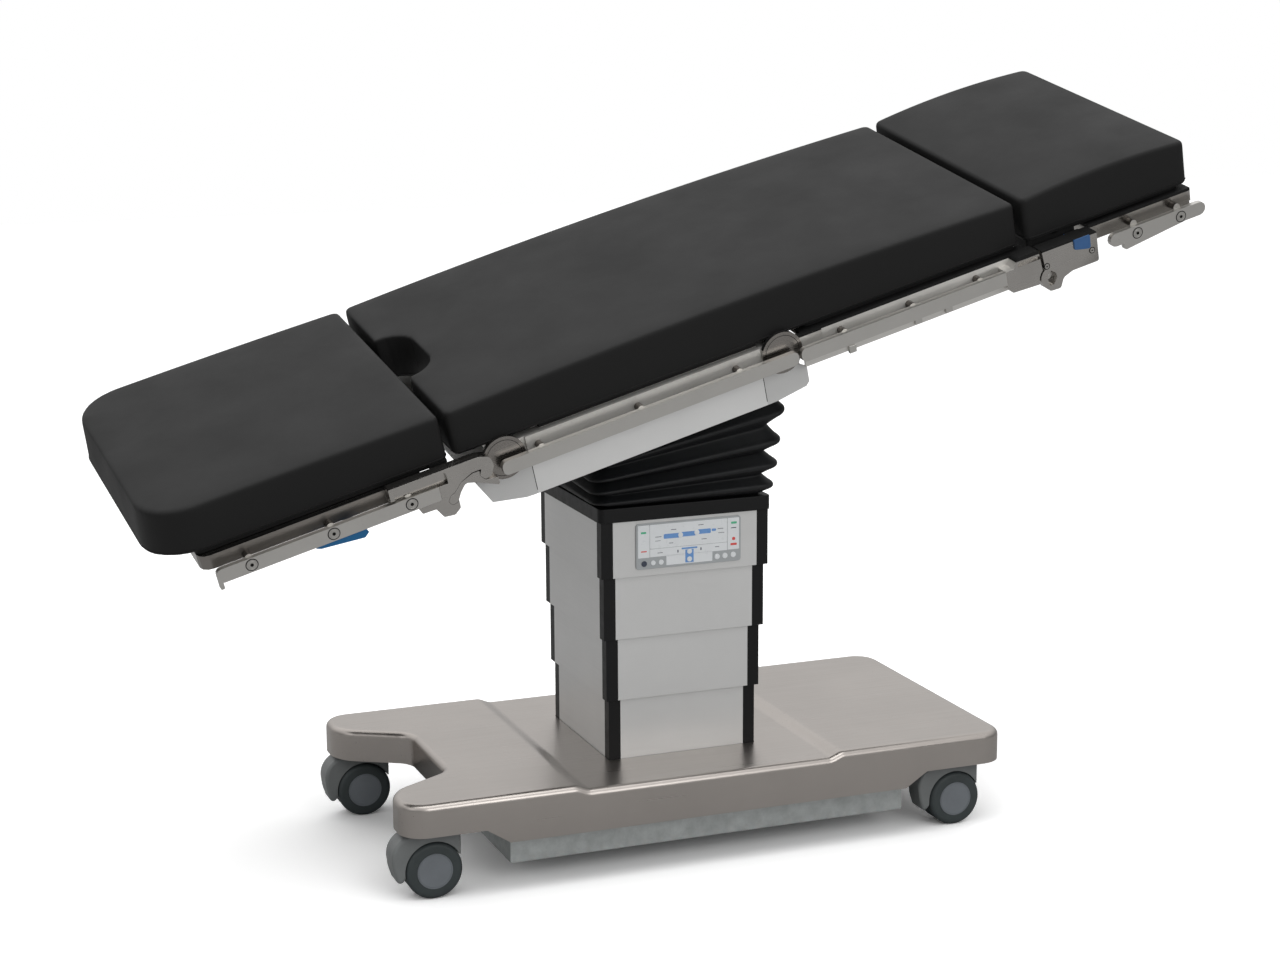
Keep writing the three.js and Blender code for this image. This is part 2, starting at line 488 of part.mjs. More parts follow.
function baseChassis() {
  const c = CHASSIS;
  const inside = [c.footEnd + c.wall, c.headEnd - c.wall];
  const tray = cut(
    block([c.footEnd, c.headEnd], [-c.halfWidth, c.halfWidth], [c.bottom, c.plateTop]),
    block(inside, [c.wall - c.halfWidth, c.halfWidth - c.wall], [c.bottom + c.wall, c.plateBottom]),
    block([c.footEnd + c.bayMargin, -c.columnPlateHalf],
      [c.bayMargin - c.halfWidth, c.halfWidth - c.bayMargin],
      [c.plateBottom - OVERRUN, c.plateTop + OVERRUN]),
    block([c.columnPlateHalf, c.headEnd - c.bayMargin],
      [c.bayMargin - c.halfWidth, c.halfWidth - c.bayMargin],
      [c.plateBottom - OVERRUN, c.plateTop + OVERRUN]),
    barZ(RAM.radius + FIT, 0, 0, c.plateBottom - OVERRUN, c.plateTop + OVERRUN),
  );
  const ends = [BASE.footEnd + c.beamEndMargin, BASE.headEnd - c.beamEndMargin];
  const beam = roundedLoop([
    [ends[0], c.beamBottom, 0], [c.footEnd, c.beamBottom, 0], [c.footEnd, c.plateBottom, 0],
    [c.headEnd, c.plateBottom, 0], [c.headEnd, c.beamBottom, 0], [ends[1], c.beamBottom, 0],
    [ends[1], BEAM_TOP, 0], [ends[0], BEAM_TOP, 0],
  ]);
  const beams = bothSides(beam, CASTOR.y - c.beamWidth / 2, CASTOR.y + c.beamWidth / 2);
  const sockets = castorPlaces().map(({ x, y }) => barZ(CASTOR.stemRadius + FIT, x - CASTOR.trail, y,
    c.beamBottom - OVERRUN, c.beamBottom + c.socketDepth));
  return cut(join(tray, beams), ...sockets);
}

function powerUnit() {
  const c = CHASSIS;
  const foot = c.footEnd + c.wall + POWER.footMargin;
  const floor = c.bottom + c.wall + FIT;
  const across = [-POWER.halfWidth, POWER.halfWidth];
  const plan = roundedLoop(rectangle(foot, foot + POWER.reach, ...across, POWER.round));
  return slab(plan, floor, floor + POWER.height);
}

// Castors

function castorPlaces() {
  return [
    { name: 'foot_near', x: CASTOR.footX, y: -CASTOR.y }, { name: 'foot_far', x: CASTOR.footX, y: CASTOR.y },
    { name: 'head_near', x: CASTOR.headX, y: -CASTOR.y }, { name: 'head_far', x: CASTOR.headX, y: CASTOR.y },
  ];
}

// Hood: web between the wheels, roof over them, a fender that sweeps down on the foot side
function castorHood() {
  const c = CASTOR;
  const h = HOOD;
  const mid = c.wheelRadius;
  const side = roundedLoop([
    [h.footTip, h.tipBottom, 4 * h.edge], [-c.axleRadius, h.webBottom, h.edge],
    [c.axleRadius, h.webBottom, h.edge],
    [h.head, h.headBottom, h.edge], [h.head, h.top, h.edge], [h.crownStart, h.top, h.footRound],
    [h.foot, h.crownEnd, h.footRound / 2], [h.foot, h.lobe, h.footRound / 2],
  ]);
  const well = c.wheelRadius + c.wellGap;
  const hood = cut(
    sideSlab(side, -h.halfWidth, h.halfWidth),
    barY(well, 0, mid, c.webHalf, h.halfWidth + OVERRUN),
    barY(well, 0, mid, -h.halfWidth - OVERRUN, -c.webHalf),
    barY(c.axleRadius + FIT, 0, mid, -c.webHalf - OVERRUN, c.webHalf + OVERRUN, PIN_STEPS),
  );
  const bearing = barZ(c.bearingRadius, -c.trail, 0, h.top - OVERRUN, CHASSIS.beamBottom - FIT);
  const stem = barZ(c.stemRadius, -c.trail, 0, h.top, c.stemTop, PIN_STEPS);
  return join(hood, bearing, stem);
}

// Hub spool: two discs on one axle, turned round Y
function castorHub() {
  const c = CASTOR;
  const [web, face] = [c.webHalf + FIT, c.faceHalf];
  const half = [
    [face, 0], [face, c.hubRadius - c.hubBevel], [face - c.hubBevel, c.hubRadius],
    [web, c.hubRadius], [web, c.axleRadius],
  ];
  const profile = [
    ...half.map(([y, r]) => new THREE.Vector2(r, -y)),
    ...half.slice().reverse().map(([y, r]) => new THREE.Vector2(r, y)),
  ];
  return new THREE.LatheGeometry(profile, ROUND_STEPS, Math.PI / ROUND_STEPS);
}

// Tyre, turned so that it stands on a flat between two facets
function castorTyre(side) {
  const c = CASTOR;
  const [inner, outer] = [c.webHalf + 2 * FIT, c.faceHalf - FIT];
  const bore = c.hubRadius + FIT;
  const shoulder = c.tyreShoulder;
  const tread = c.wheelRadius / Math.cos(Math.PI / ROUND_STEPS);
  const half = [
    [inner, bore], [inner, tread - shoulder], [inner + shoulder, tread],
    [outer - shoulder, tread], [outer, tread - shoulder], [outer, bore], [inner, bore],
  ];
  const ring = half.map(([y, r]) => new THREE.Vector2(r, side * y));
  return new THREE.LatheGeometry(side > 0 ? ring : ring.reverse(), ROUND_STEPS, Math.PI / ROUND_STEPS);
}

// Column stages: a silver tube with cut-back corners, and black corner strips tied by a ring
// that guides the next stage

function stagePanels(n) {
  const s = STAGE;
  const [hx, hy] = stageHalf(n);
  const bottom = n === 0 ? CHASSIS.plateTop + FIT : stageBottom(n);
  const top = stageTop(n) - s.ringHeight - FIT;
  const tube = cut(
    block([-hx, hx], [-hy, hy], [bottom, top]),
    block([s.shell - hx, hx - s.shell], [s.shell - hy, hy - s.shell], [bottom - OVERRUN, top + OVERRUN]),
  );
  const corners = [];
  for (const sx of [-1, 1]) {
    for (const sy of [-1, 1]) {
      corners.push(cornerStrip(sx, sy, hx, hy, s.cornerDepth, s.cornerWidth,
        bottom - OVERRUN, top + OVERRUN));
    }
  }
  return cut(tube, ...corners);
}

// L-shaped strip that wraps one corner of a square tube
function cornerStrip(sx, sy, hx, hy, depth, width, bottom, top) {
  const spread = (s, h, from) => [Math.min(s * from, s * h), Math.max(s * from, s * h)];
  return join(
    block(spread(sx, hx, hx - width), spread(sy, hy, hy - depth), [bottom, top]),
    block(spread(sx, hx, hx - depth), spread(sy, hy, hy - width), [bottom, top]),
  );
}

function stageCorners(n) {
  const s = STAGE;
  const [hx, hy] = stageHalf(n);
  const bottom = n === 0 ? CHASSIS.plateTop + FIT : stageBottom(n);
  const top = stageTop(n);
  const last = n === STAGE_COUNT - 1;
  const [ox, oy] = last ? [hx, hy] : stageHalf(n + 1).map((half) => half - s.shell - FIT);
  const parts = [cut(
    block([-ox, ox], [-oy, oy], [top - s.ringHeight, top]),
    block([-s.ringInner, s.ringInner], [-s.ringInner, s.ringInner],
      [top - s.ringHeight - OVERRUN, top + OVERRUN]),
  )];
  for (const sx of [-1, 1]) {
    for (const sy of [-1, 1]) {
      parts.push(cornerStrip(sx, sy, hx, hy, s.cornerDepth - FIT, s.cornerWidth - FIT,
        bottom, top - s.ringHeight / 2));
    }
  }
  return join(...parts);
}

function topCollar() {
  const c = COLLAR;
  const [hx, hy] = stageHalf(STAGE_COUNT - 1);
  const outer = roundedLoop(rectangle(-hx - c.wall, hx + c.wall, -hy - c.wall, hy + c.wall, c.corner));
  return cut(
    slab(outer, c.bottom, c.top),
    block([-hx - FIT, hx + FIT], [-hy - FIT, hy + FIT], [c.bottom - OVERRUN, c.top - c.lip]),
    block([-c.opening, c.opening], [-c.opening, c.opening], [c.bottom, c.top + OVERRUN]),
  );
}

function controlPanel() {
  const k = KEYPAD;
  const face = -stageHalf(STAGE_COUNT - 1)[1] - FIT;
  const [left, right] = [k.centreX - k.width / 2, k.centreX + k.width / 2];
  const loop = roundedLoop(rectangle(left, right, k.bottom, k.bottom + k.height, k.round));
  return sideSlab(loop, face - k.thickness, face);
}

// Lift ram

function liftCylinder() {
  const r = RAM;
  return cut(
    barZ(r.radius, 0, 0, CHASSIS.bottom + CHASSIS.wall + FIT, r.top),
    barZ(r.bore, 0, 0, r.bottom + r.floor, r.top + OVERRUN),
  );
}

function liftRod() {
  const r = RAM;
  return join(
    barZ(r.rodRadius, 0, 0, r.rodBottom, HEAD.bridgeBottom - FIT),
    barZ(r.bore - FIT, 0, 0, r.rodBottom, r.rodBottom + r.floor),
  );
}

// Head of the column

function headBracket() {
  const h = HEAD;
  const [hx, hy] = stageHalf(STAGE_COUNT - 1).map((half) => half - h.plateMargin);
  const plateTop = PLATE_BOTTOM + h.plateThickness;
  const plate = cut(
    block([-hx, hx], [-hy, hy], [PLATE_BOTTOM, plateTop]),
    barZ(h.ramHole, 0, 0, PLATE_BOTTOM - OVERRUN, plateTop + OVERRUN),
  );
  const posts = [1, -1].flatMap((side) => {
    const span = side > 0 ? [h.postInner, h.postOuter] : [-h.postOuter, -h.postInner];
    return [
      block([-h.postHalf, h.postHalf], span, [plateTop - FIT, PIVOT_Z]),
      barY(h.postHalf, 0, PIVOT_Z, ...span),
    ];
  });
  const bridge = block([-h.bridgeHalf, h.bridgeHalf], [-h.postOuter, h.postOuter],
    [h.bridgeBottom, h.bridgeBottom + h.bridgeHeight]);
  const bore = barY(GIMBAL.trunnion + FIT, 0, PIVOT_Z, -h.postOuter - OVERRUN, h.postOuter + OVERRUN);
  return cut(join(plate, ...posts, bridge), bore);
}

// Gimbal cross, centred on the pivot
function gimbalCross() {
  const g = GIMBAL;
  return join(
    block([-g.block, g.block], [-g.block, g.block], [-g.block, g.block]),
    barY(g.trunnion, 0, 0, -HEAD.postOuter, HEAD.postOuter),
    barX(g.trunnion, -LUG.outer, LUG.outer, 0, 0),
  );
}

// Concertina: square rings with bevelled corners, wide and narrow in turn, whose planes turn
// from level at the column to the slope of the top
function bellows() {
  const b = BELLOWS;
  const start = new THREE.Vector3(0, 0, COLLAR.top + FIT);
  const rest = new THREE.Matrix4().makeRotationY(-TREND_REST)
    .multiply(new THREE.Matrix4().makeRotationX(TILT_REST));
  const end = new THREE.Vector3(0, 0, HOUSING.bottom - FIT).applyMatrix4(rest);
  end.z += PIVOT_Z;
  const ringAt = (share, half) => {
    const turn = new THREE.Matrix4().makeRotationY(-TREND_REST * share)
      .multiply(new THREE.Matrix4().makeRotationX(TILT_REST * share));
    const centre = start.clone().lerp(end, share);
    const bevel = half * b.cornerShare;
    const corners = [[half, -bevel], [half, bevel], [bevel, half], [-bevel, half],
      [-half, bevel], [-half, -bevel], [-bevel, -half], [bevel, -half]];
    return corners.map(([x, y]) => new THREE.Vector3(x, y, 0).applyMatrix4(turn).add(centre));
  };
  const outside = [];
  for (const [k, share] of RING_SHARES.entries()) {
    const [first, last] = k % 2 === 1 ? b.peaks : b.valleys;
    outside.push(ringAt(share, k === 0 ? b.bottomRim : first + (last - first) * share));
  }
  const inside = [ringAt(1, b.bore), ringAt(0, b.bore)];
  return closedBand([...outside, ...inside]);
}

// Rings of equal count joined into a band that closes on itself, like a tube with a bore
function closedBand(rings) {
  const count = rings[0].length;
  const index = [];
  for (let r = 0; r < rings.length; r += 1) {
    const next = ((r + 1) % rings.length) * count;
    for (let i = 0; i < count; i += 1) {
      const [a, b] = [r * count + i, r * count + ((i + 1) % count)];
      const [c, d] = [next + ((i + 1) % count), next + i];
      index.push(a, b, c, a, c, d);
    }
  }
  const geometry = new THREE.BufferGeometry();
  const positions = rings.flat().flatMap((p) => [p.x, p.y, p.z]);
  geometry.setAttribute('position', new THREE.Float32BufferAttribute(positions, 3));
  geometry.setIndex(index);
  return geometry;
}

// Table top, in the axes of the pads: X along, Y across, Z square to them

const box3 = (u, v, w) => block(u, v, w);
const crossBeam = (u, half = TOP.beamInner + FIT) =>
  box3([u, u + TOP.crossWidth], [-half, half], [TOP.frameBottom, TOP.frameTop]);

function sideBeams(foot, head) {
  const loop = roundedLoop(rectangle(foot, head, TOP.frameBottom, TOP.frameTop));
  return bothSides(loop, TOP.beamInner, TOP.beamOuter);
}

const discLoop = (joint, radius) => {
  const loop = [];
  for (let k = 0; k < ROUND_STEPS; k += 1) {
    const angle = (2 * Math.PI * k) / ROUND_STEPS;
    loop.push(new THREE.Vector2(joint.u + radius * Math.cos(angle), joint.w + radius * Math.sin(angle)));
  }
  return loop;
};
const throughBore = (joint, radius) => barY(radius, joint.u, joint.w, -TOP.railOuter, TOP.railOuter);

function seatFrame() {
  const inside = TOP.beamInner;
  const lugOuter = TOP.cheekInner - FIT;
  const beams = sideBeams(SEAT.beamFoot, SEAT.beamHead);
  const ledges = [1, -1].map((side) => {
    const span = side > 0 ? [inside - TOP.crossWidth, TOP.boardHalf]
      : [-TOP.boardHalf, TOP.crossWidth - inside];
    return box3([SEAT.crossFoot, SEAT.beamHead], span, [TOP.frameTop - FIT, TOP.boardTop]);
  });
  const rests = [1, -1].map((side) => {
    const span = side > 0 ? [SEAT.ledgeInner, SEAT.ledgeOuter] : [-SEAT.ledgeOuter, -SEAT.ledgeInner];
    return box3([SEAT.ledgeFoot, SEAT.crossFoot + TOP.crossWidth], span, [TOP.frameTop, TOP.boardTop]);
  });
  const cheek = (joint, towards) => {
    const reach = towards - joint.u;
    const [from, to] = [Math.min(joint.u, towards), Math.max(joint.u, towards)];
    const arm = roundedLoop(rectangle(from, to, TOP.frameBottom, TOP.frameTop));
    return reach === 0 ? bothSides(discLoop(joint, DISC.lug), inside, lugOuter)
      : join(bothSides(discLoop(joint, DISC.lug), inside, lugOuter), bothSides(arm, inside, lugOuter));
  };
  const crosses = [-LUG.outer, LUG.inner].map((u) =>
    box3([u, u + LUG.outer - LUG.inner], [-inside - FIT, inside + FIT], [LUG.crossBottom, TOP.frameTop]));
  const hangers = [-LUG.outer, LUG.inner].flatMap((u) => [
    box3([u, u + LUG.outer - LUG.inner], [-LUG.half, LUG.half], [0, LUG.crossBottom + FIT]),
    barX(LUG.half, u, u + LUG.outer - LUG.inner, 0, 0),
    ...[[LUG.footInner, LUG.footOuter], [-LUG.footOuter, -LUG.footInner]].map((across) =>
      box3([u, u + LUG.outer - LUG.inner], across,
        [HOUSING.bottom + HOUSING.wall + FIT, LUG.crossBottom + FIT])),
  ]);
  return cut(
    join(beams, ...ledges, ...rests, crossBeam(SEAT.crossFoot), ...crosses, ...hangers,
      cheek(FOOT_JOINT, SEAT.beamFoot + OVERRUN), cheek(BACK_JOINT, SEAT.beamHead - OVERRUN)),
    barX(GIMBAL.trunnion + FIT, -LUG.outer - OVERRUN, LUG.outer + OVERRUN, 0, 0),
    throughBore(FOOT_JOINT, DISC.shaft + FIT), throughBore(BACK_JOINT, DISC.shaft + FIT),
  );
}

function housingShape(inset, topExtra) {
  const h = HOUSING;
  const profile = roundedLoop([
    [h.footTip, h.footTipW, 0], [h.footLow, h.footLowW, 0], [h.bottomFoot, h.bottom, 0],
    [h.bottomHead, h.bottom, 0], [h.headLow, h.headLowW, 0], [h.headEnd, h.headEndLow, 0],
    [h.headEnd, h.headEndTop + topExtra, 0], [h.headShoulder, h.top + topExtra, 0],
    [h.footShoulder, h.top + topExtra, 0],
  ], inset);
  const plan = roundedLoop([
    [h.footTip, -h.footHalf, 0], [h.creaseFoot, -h.halfWidth, 0], [h.creaseHead, -h.halfWidth, 0],
    [h.headEnd, -h.headHalf, 0], [h.headEnd, h.headHalf, 0], [h.creaseHead, h.halfWidth, 0],
    [h.creaseFoot, h.halfWidth, 0], [h.footTip, h.footHalf, 0],
  ], inset);
  return common(sideSlab(profile, -h.halfWidth, h.halfWidth),
    slab(plan, -OVERRUN, h.top + topExtra + OVERRUN));
}

function housingCover() {
  const h = HOUSING;
  const inner = h.halfWidth - 2 * OVERRUN;
  return cut(
    housingShape(0, 0), housingShape(h.wall, 2 * OVERRUN),
    block([-h.opening, h.opening], [-h.opening, h.opening], [h.bottom - OVERRUN, h.bottom + OVERRUN]),
    block([h.creaseHead, h.headEnd + OVERRUN], [-inner, inner], [h.sillW, h.top + OVERRUN]),
    block([h.footTip - OVERRUN, h.bottomFoot], [-inner, inner], [h.sillW, h.top + OVERRUN]),
  );
}

// Accessory rail: flat bar with rounded ends, held off the frame or a coupling plate by studs
function rail(side, foot, head, studs, extra = {}) {
  const t = TOP;
  const [low, high] = [t.railBottom - (extra.drop ?? 0), t.railTop - (extra.drop ?? 0)];
  const middle = (low + high) / 2;
  const round = extra.round ?? RAIL.endRound;
  const span = (inner, outer) => (side > 0 ? [inner, outer] : [-outer, -inner]);
  const flat = (corners) => sideSlab(roundedLoop(corners), ...span(t.railInner, t.railOuter));
  const stud = (u, seat) =>
    barY(RAIL.stud, u, t.railTop - RAIL.studDrop, ...span(seat + FIT, t.railInner + FIT), PIN_STEPS);
  const headRound = extra.butts ? 0 : round;
  const parts = [
    flat([[foot, low, round], [head, low, headRound], [head, high, headRound], [foot, high, round]]),
    ...studs.map((u) => stud(u, t.beamOuter)),
  ];
  if (extra.plateStud) parts.push(stud(extra.plateStud, t.plateRecess));
  if (extra.tooth) {
    parts.push(flat(rectangle(foot, foot + RAIL.toothWidth, low - RAIL.toothDepth, middle, RAIL.toothRound)));
  }
  if (extra.keel) {
    parts.push(flat([
      [RAIL.keelFoot, low - RAIL.keelDepth, RAIL.keelRound], [RAIL.keelHead, low, 0],
      [RAIL.keelHead, middle, 0], [RAIL.keelFoot, middle, 0],
    ]));
  }
  return join(...parts);
}

// Firm foam pad, skinned over cross-sections from foot to head: crowned along its length, with
// upright ends, corners rounded in plan, drawn-in sides and a rounded upper edge
function pad(foot, head, crown, footRound, headRound = PAD.corner) {
  const end = (place, inward, round) => {
    const rows = [];
    for (let k = 0; k <= PAD.endSteps; k += 1) {
      const angle = (k * Math.PI) / (2 * PAD.endSteps);
      rows.push({ u: place + inward * round * (1 - Math.cos(angle)), inset: round * (1 - Math.sin(angle)) });
    }
    return rows;
  };
  const rows = end(foot, 1, footRound);
  for (let k = 1; k < PAD.spans; k += 1) {
    rows.push({ u: THREE.MathUtils.lerp(foot + footRound, head - headRound, k / PAD.spans), inset: 0 });
  }
  rows.push(...end(head, -1, headRound).reverse());
  const middle = (foot + head) / 2;
  const sections = rows.map(({ u, inset }) => {
    const share = (u - middle) / (head - middle);
    const drop = edgeDrop(Math.min(u - foot, head - u));
    return padSection(TOP.padHalf - inset, TOP.padTop + crown * (1 - share * share) - drop, u);
  });
  const axes = [new THREE.Vector3(0, 1, 0), new THREE.Vector3(0, 0, 1), new THREE.Vector3(1, 0, 0)];
  return skin(sections).applyMatrix4(new THREE.Matrix4().makeBasis(...axes));
}

// How far the rounded upper edge lies under the top face, so far in from the side
const edgeDrop = (depth) =>
  (depth >= PAD.bevel ? 0 : PAD.bevel - Math.sqrt(depth * (2 * PAD.bevel - depth)));

// Cross-section of a pad, anticlockwise: Y across in x, height in y, station along in z
function padSection(half, height, station) {
  const base = TOP.padBottom;
  const ease = PAD.bevel * (1 - Math.SQRT1_2);
  const right = [
    [half - PAD.edge / 2, base], [half, base + PAD.edge], [half - PAD.waist, (base + height) / 2],
    [half, height - PAD.bevel], [half - ease, height - ease], [half - PAD.bevel, height],
  ];
  const left = right.map(([v, w]) => [-v, w]).reverse();
  return [...right, ...left].map(([v, w]) => new THREE.Vector3(v, w, station));
}

function longPad() {
  const s = SEAT;
  const mouth = s.padFoot - OVERRUN;
  const notch = [
    [mouth, -s.notchHalf, 0], [s.padFoot + s.notchDepth, -s.notchHalf, s.notchRound],
    [s.padFoot + s.notchDepth, s.notchHalf, s.notchRound], [mouth, s.notchHalf, 0],
  ];
  return cut(pad(s.padFoot, BACK.padHead, PAD.longCrown, PAD.corner),
    slab(roundedLoop(notch, 0, 2 * CORNER_STEPS), 0, 2 * TOP.padTop));
}

function padSlice(from, to) {
  const across = TOP.padHalf + OVERRUN;
  return common(longPad(), block([from, to], [-across, across], [0, 2 * TOP.padTop]));
}

const legPad = () => pad(LEG.padFoot, LEG.padHead, PAD.legCrown, LEG.round);
const headPad = () => pad(HEADREST.padFoot, HEADREST.padHead, PAD.headCrown, PAD.corner, PAD.headCorner);

function board(foot, head) {
  const plan = rectangle(foot, head, -TOP.boardHalf, TOP.boardHalf, PAD.corner);
  return slab(roundedLoop(plan), TOP.frameTop + FIT, TOP.boardTop);
}

// Outline of a coupling from its shares
const onCoupling = (c, shares) => shares.map(([u, w, r]) => [
  c.foot + u * (c.head - c.foot), c.bottom + w * (c.top - c.bottom), r * (c.top - c.bottom),
]);

// Leg section: the joint shaft carries a finger on each side, which the leg frame hooks on to

function legJointShaft() {
  const disc = discLoop(FOOT_JOINT, DISC.radius);
  return join(
    barY(DISC.shaft, FOOT_JOINT.u, FOOT_JOINT.w, -TOP.cheekInner - FIT, TOP.cheekInner + FIT),
    bothSides(disc, TOP.cheekInner, TOP.cheekInner + DISC.thickness),
    bothSides(roundedLoop(onCoupling(LEG_COUPLING, LEG_FINGER_SHARES)), TOP.cheekInner, TOP.plateOuter),
  );
}

function legFrame() {
  const p = LEG_POCKET;
  const plateInner = TOP.cheekInner + DISC.thickness + FIT;
  const hook = roundedLoop(onCoupling(LEG_COUPLING, LEG_HOOK_SHARES));
  const rootHead = LEG.beamHead + TOP.crossWidth;
  const root = roundedLoop(rectangle(LEG_COUPLING.foot, rootHead, TOP.frameBottom, TOP.frameTop));
  const finger = roundedLoop(onCoupling(LEG_COUPLING, LEG_FINGER_SHARES), -FIT);
  const grown = bothSides(finger, TOP.beamInner, TOP.railOuter);
  const recess = rectangle(LEG_COUPLING.foot - OVERRUN, LEG.railHead + FIT,
    TOP.railBottom - FIT, TOP.railTop + FIT);
  const slit = rectangle(LEG_COUPLING.foot - OVERRUN, p.head, TOP.railTop, TOP.railTop + p.slit);
  const pocket = [[p.foot, TOP.railTop, p.round], [p.head, TOP.railTop, p.round],
    [p.head, p.top, p.headRound], [p.foot, p.top, p.round]];
  const hollows = [
    [recess, TOP.plateRecess], [slit, TOP.plateOuter - p.slitDepth], [pocket, TOP.plateOuter - p.depth],
  ];
  const ear = box3([LEVER.pivotU - LEVER.earHalf, LEVER.pivotU + LEVER.earHalf],
    [-LEVER.lugInner + FIT, -TOP.beamInner], [LEVER.pivotW - LEVER.earHalf, TOP.frameBottom + FIT]);
  const pin = barY(LEVER.pin, LEVER.pivotU, LEVER.pivotW, -LEVER.inner, -TOP.beamInner, PIN_STEPS);
  const ladder = join(
    sideBeams(LEG.boardFoot, LEG.beamHead), crossBeam(LEG.boardFoot),
    crossBeam((LEG.boardFoot + LEG.beamHead - TOP.crossWidth) / 2), crossBeam(LEG.beamHead - TOP.crossWidth),
  );
  const plan = [[LEG.boardFoot, -TOP.beamOuter, LEG.frameRound], [LEG.beamHead, -TOP.beamOuter, 0],
    [LEG.beamHead, TOP.beamOuter, 0], [LEG.boardFoot, TOP.beamOuter, LEG.frameRound]];
  return join(
    common(ladder, slab(roundedLoop(plan), TOP.frameBottom - OVERRUN, TOP.frameTop + OVERRUN)),
    cut(bothSides(hook, plateInner, TOP.plateOuter), grown,
      ...hollows.map(([corners, inner]) => bothSides(roundedLoop(corners), inner, TOP.railOuter))),
    bothSides(root, TOP.beamOuter - FIT, plateInner + FIT), ear, pin,
  );
}

function releaseLever() {
  const l = LEVER;
  const paddle = roundedLoop([
    [l.foot, l.footW, l.tipRound], [l.foot + l.lugHalf, l.low + l.lugHalf, l.tipRound],
    [l.head - l.lugHalf, l.low, l.edgeRound], [l.head, l.headMid, l.edgeRound],
    [l.head - l.lugHalf, l.headTop, l.edgeRound], [l.pivotU - 2 * l.lugHalf, l.headTop, l.edgeRound],
  ]);
  const eye = discLoop({ u: l.pivotU, w: l.pivotW }, l.lugHalf);
  const web = rectangle(l.pivotU - l.lugHalf, l.pivotU + l.lugHalf, l.low + l.edgeRound, l.pivotW);
  const lug = join(...[eye, roundedLoop(web)].map((loop) => sideSlab(loop, -l.inner - FIT, -l.lugInner)));
  return cut(
    join(sideSlab(paddle, -l.outer, -l.inner), lug),
    barY(l.pin + FIT, l.pivotU, l.pivotW, -l.inner - OVERRUN, -l.lugInner + OVERRUN, PIN_STEPS),
  );
}

// Back section: discs and arms outboard of the seat frame, hooks for the head section

function backFrame() {
  const t = TOP;
  const discOuter = t.cheekInner + DISC.thickness;
  const arm = roundedLoop(rectangle(BACK_JOINT.u, BACK.crossAt[0] + t.crossWidth,
    BACK_JOINT.w - BACK.armHeight / 2, t.frameTop));
  const disc = join(
    bothSides(discLoop(BACK_JOINT, DISC.radius), t.cheekInner, discOuter),
    bothSides(arm, t.cheekInner, discOuter),
  );
  const hook = roundedLoop(onCoupling(BACK_COUPLING, BACK_HOOK_SHARES));
  const nose = roundedLoop(onCoupling(BACK_COUPLING, BACK_NOSE_SHARES));
  const swept = discLoop(HEAD_PIN, HEAD_PIN.boss + HEAD_PIN.clearance);
  const sweep = bothSides(swept, t.cheekInner - FIT, t.railOuter);
  const hollow = roundedLoop(onCoupling(BACK_COUPLING, BACK_SCOOP_SHARES));
  const scoop = bothSides(hollow, t.plateOuter - LEG_POCKET.depth, t.railOuter);
  const pinLoop = discLoop(HEAD_PIN, HEAD_PIN.radius);
  const pin = bothSides(pinLoop, t.beamInner + OVERRUN, t.plateOuter - HEAD_PIN.depth);
  const skirt = roundedLoop(rectangle(BACK.beamFoot, BACK.skirtHead, BACK.skirtBottom, t.frameBottom + FIT));
  return join(
    sideBeams(BACK.beamFoot, BACK.beamHead), ...BACK.crossAt.map((u) => crossBeam(u)),
    bothSides(skirt, t.beamOuter - BACK.skirt, t.beamOuter),
    cut(disc, throughBore(BACK_JOINT, DISC.shaft + FIT)),
    cut(bothSides(hook, TOP.cheekInner - FIT, TOP.plateOuter), sweep, scoop),
    bothSides(nose, TOP.beamInner, TOP.cheekInner - FIT), pin,
  );
}

function backJointShaft() {
  const half = TOP.cheekInner + DISC.thickness;
  return barY(DISC.shaft, BACK_JOINT.u, BACK_JOINT.w, -half, half);
}

// Head section

function headFrame() {
  const h = HEADREST;
  const plate = roundedLoop(onCoupling(HEAD_COUPLING, HEAD_PLATE_SHARES));
  const slot = bothSides(discLoop(HEAD_PIN, HEAD_PIN.radius + FIT), TOP.beamInner, TOP.railOuter);
  const mouthLoop = roundedLoop(onCoupling(HEAD_COUPLING, PIN_MOUTH_SHARES));
  const mouth = bothSides(mouthLoop, TOP.plateOuter - HEAD_PIN.depth, TOP.railOuter);
  const pocket = bothSides(roundedLoop(latchLoop(), -FIT), TOP.beamInner, TOP.railOuter);
  return join(
    cut(join(bothSides(plate, TOP.cheekInner, TOP.plateOuter),
      bothSides(discLoop(HEAD_PIN, HEAD_PIN.boss), TOP.cheekInner, TOP.plateOuter)), slot, mouth, pocket),
    cut(sideBeams(h.beamFoot, h.beamHead), pocket),
    ...h.crossAt.map((u) => crossBeam(u, TOP.beamOuter - FIT)),
  );
}

const latchLoop = () => [
  [LATCH.foot, LATCH.low + LATCH.sag, LATCH.round], [LATCH.head, LATCH.low, LATCH.round],
  [LATCH.head, LATCH.high, LATCH.round], [LATCH.foot, LATCH.high, LATCH.round],
];

function latchButton(side) {
  const loop = roundedLoop(latchLoop());
  return side > 0 ? sideSlab(loop, LATCH.inner, LATCH.outer) : sideSlab(loop, -LATCH.outer, -LATCH.inner);
}

// Assembly

function piece(parent, name, geometry, finish) {
  const mesh = new THREE.Mesh(geometry, new THREE.MeshStandardMaterial(FINISH[finish]));
  mesh.name = name;
  parent.add(mesh);
}

const table = new THREE.Group();
const trend = new THREE.Group();
trend.position.z = PIVOT_Z;
trend.rotation.y = -TREND_REST;
const top = new THREE.Group();
top.rotation.x = TILT_REST;
trend.add(top);
table.add(trend);

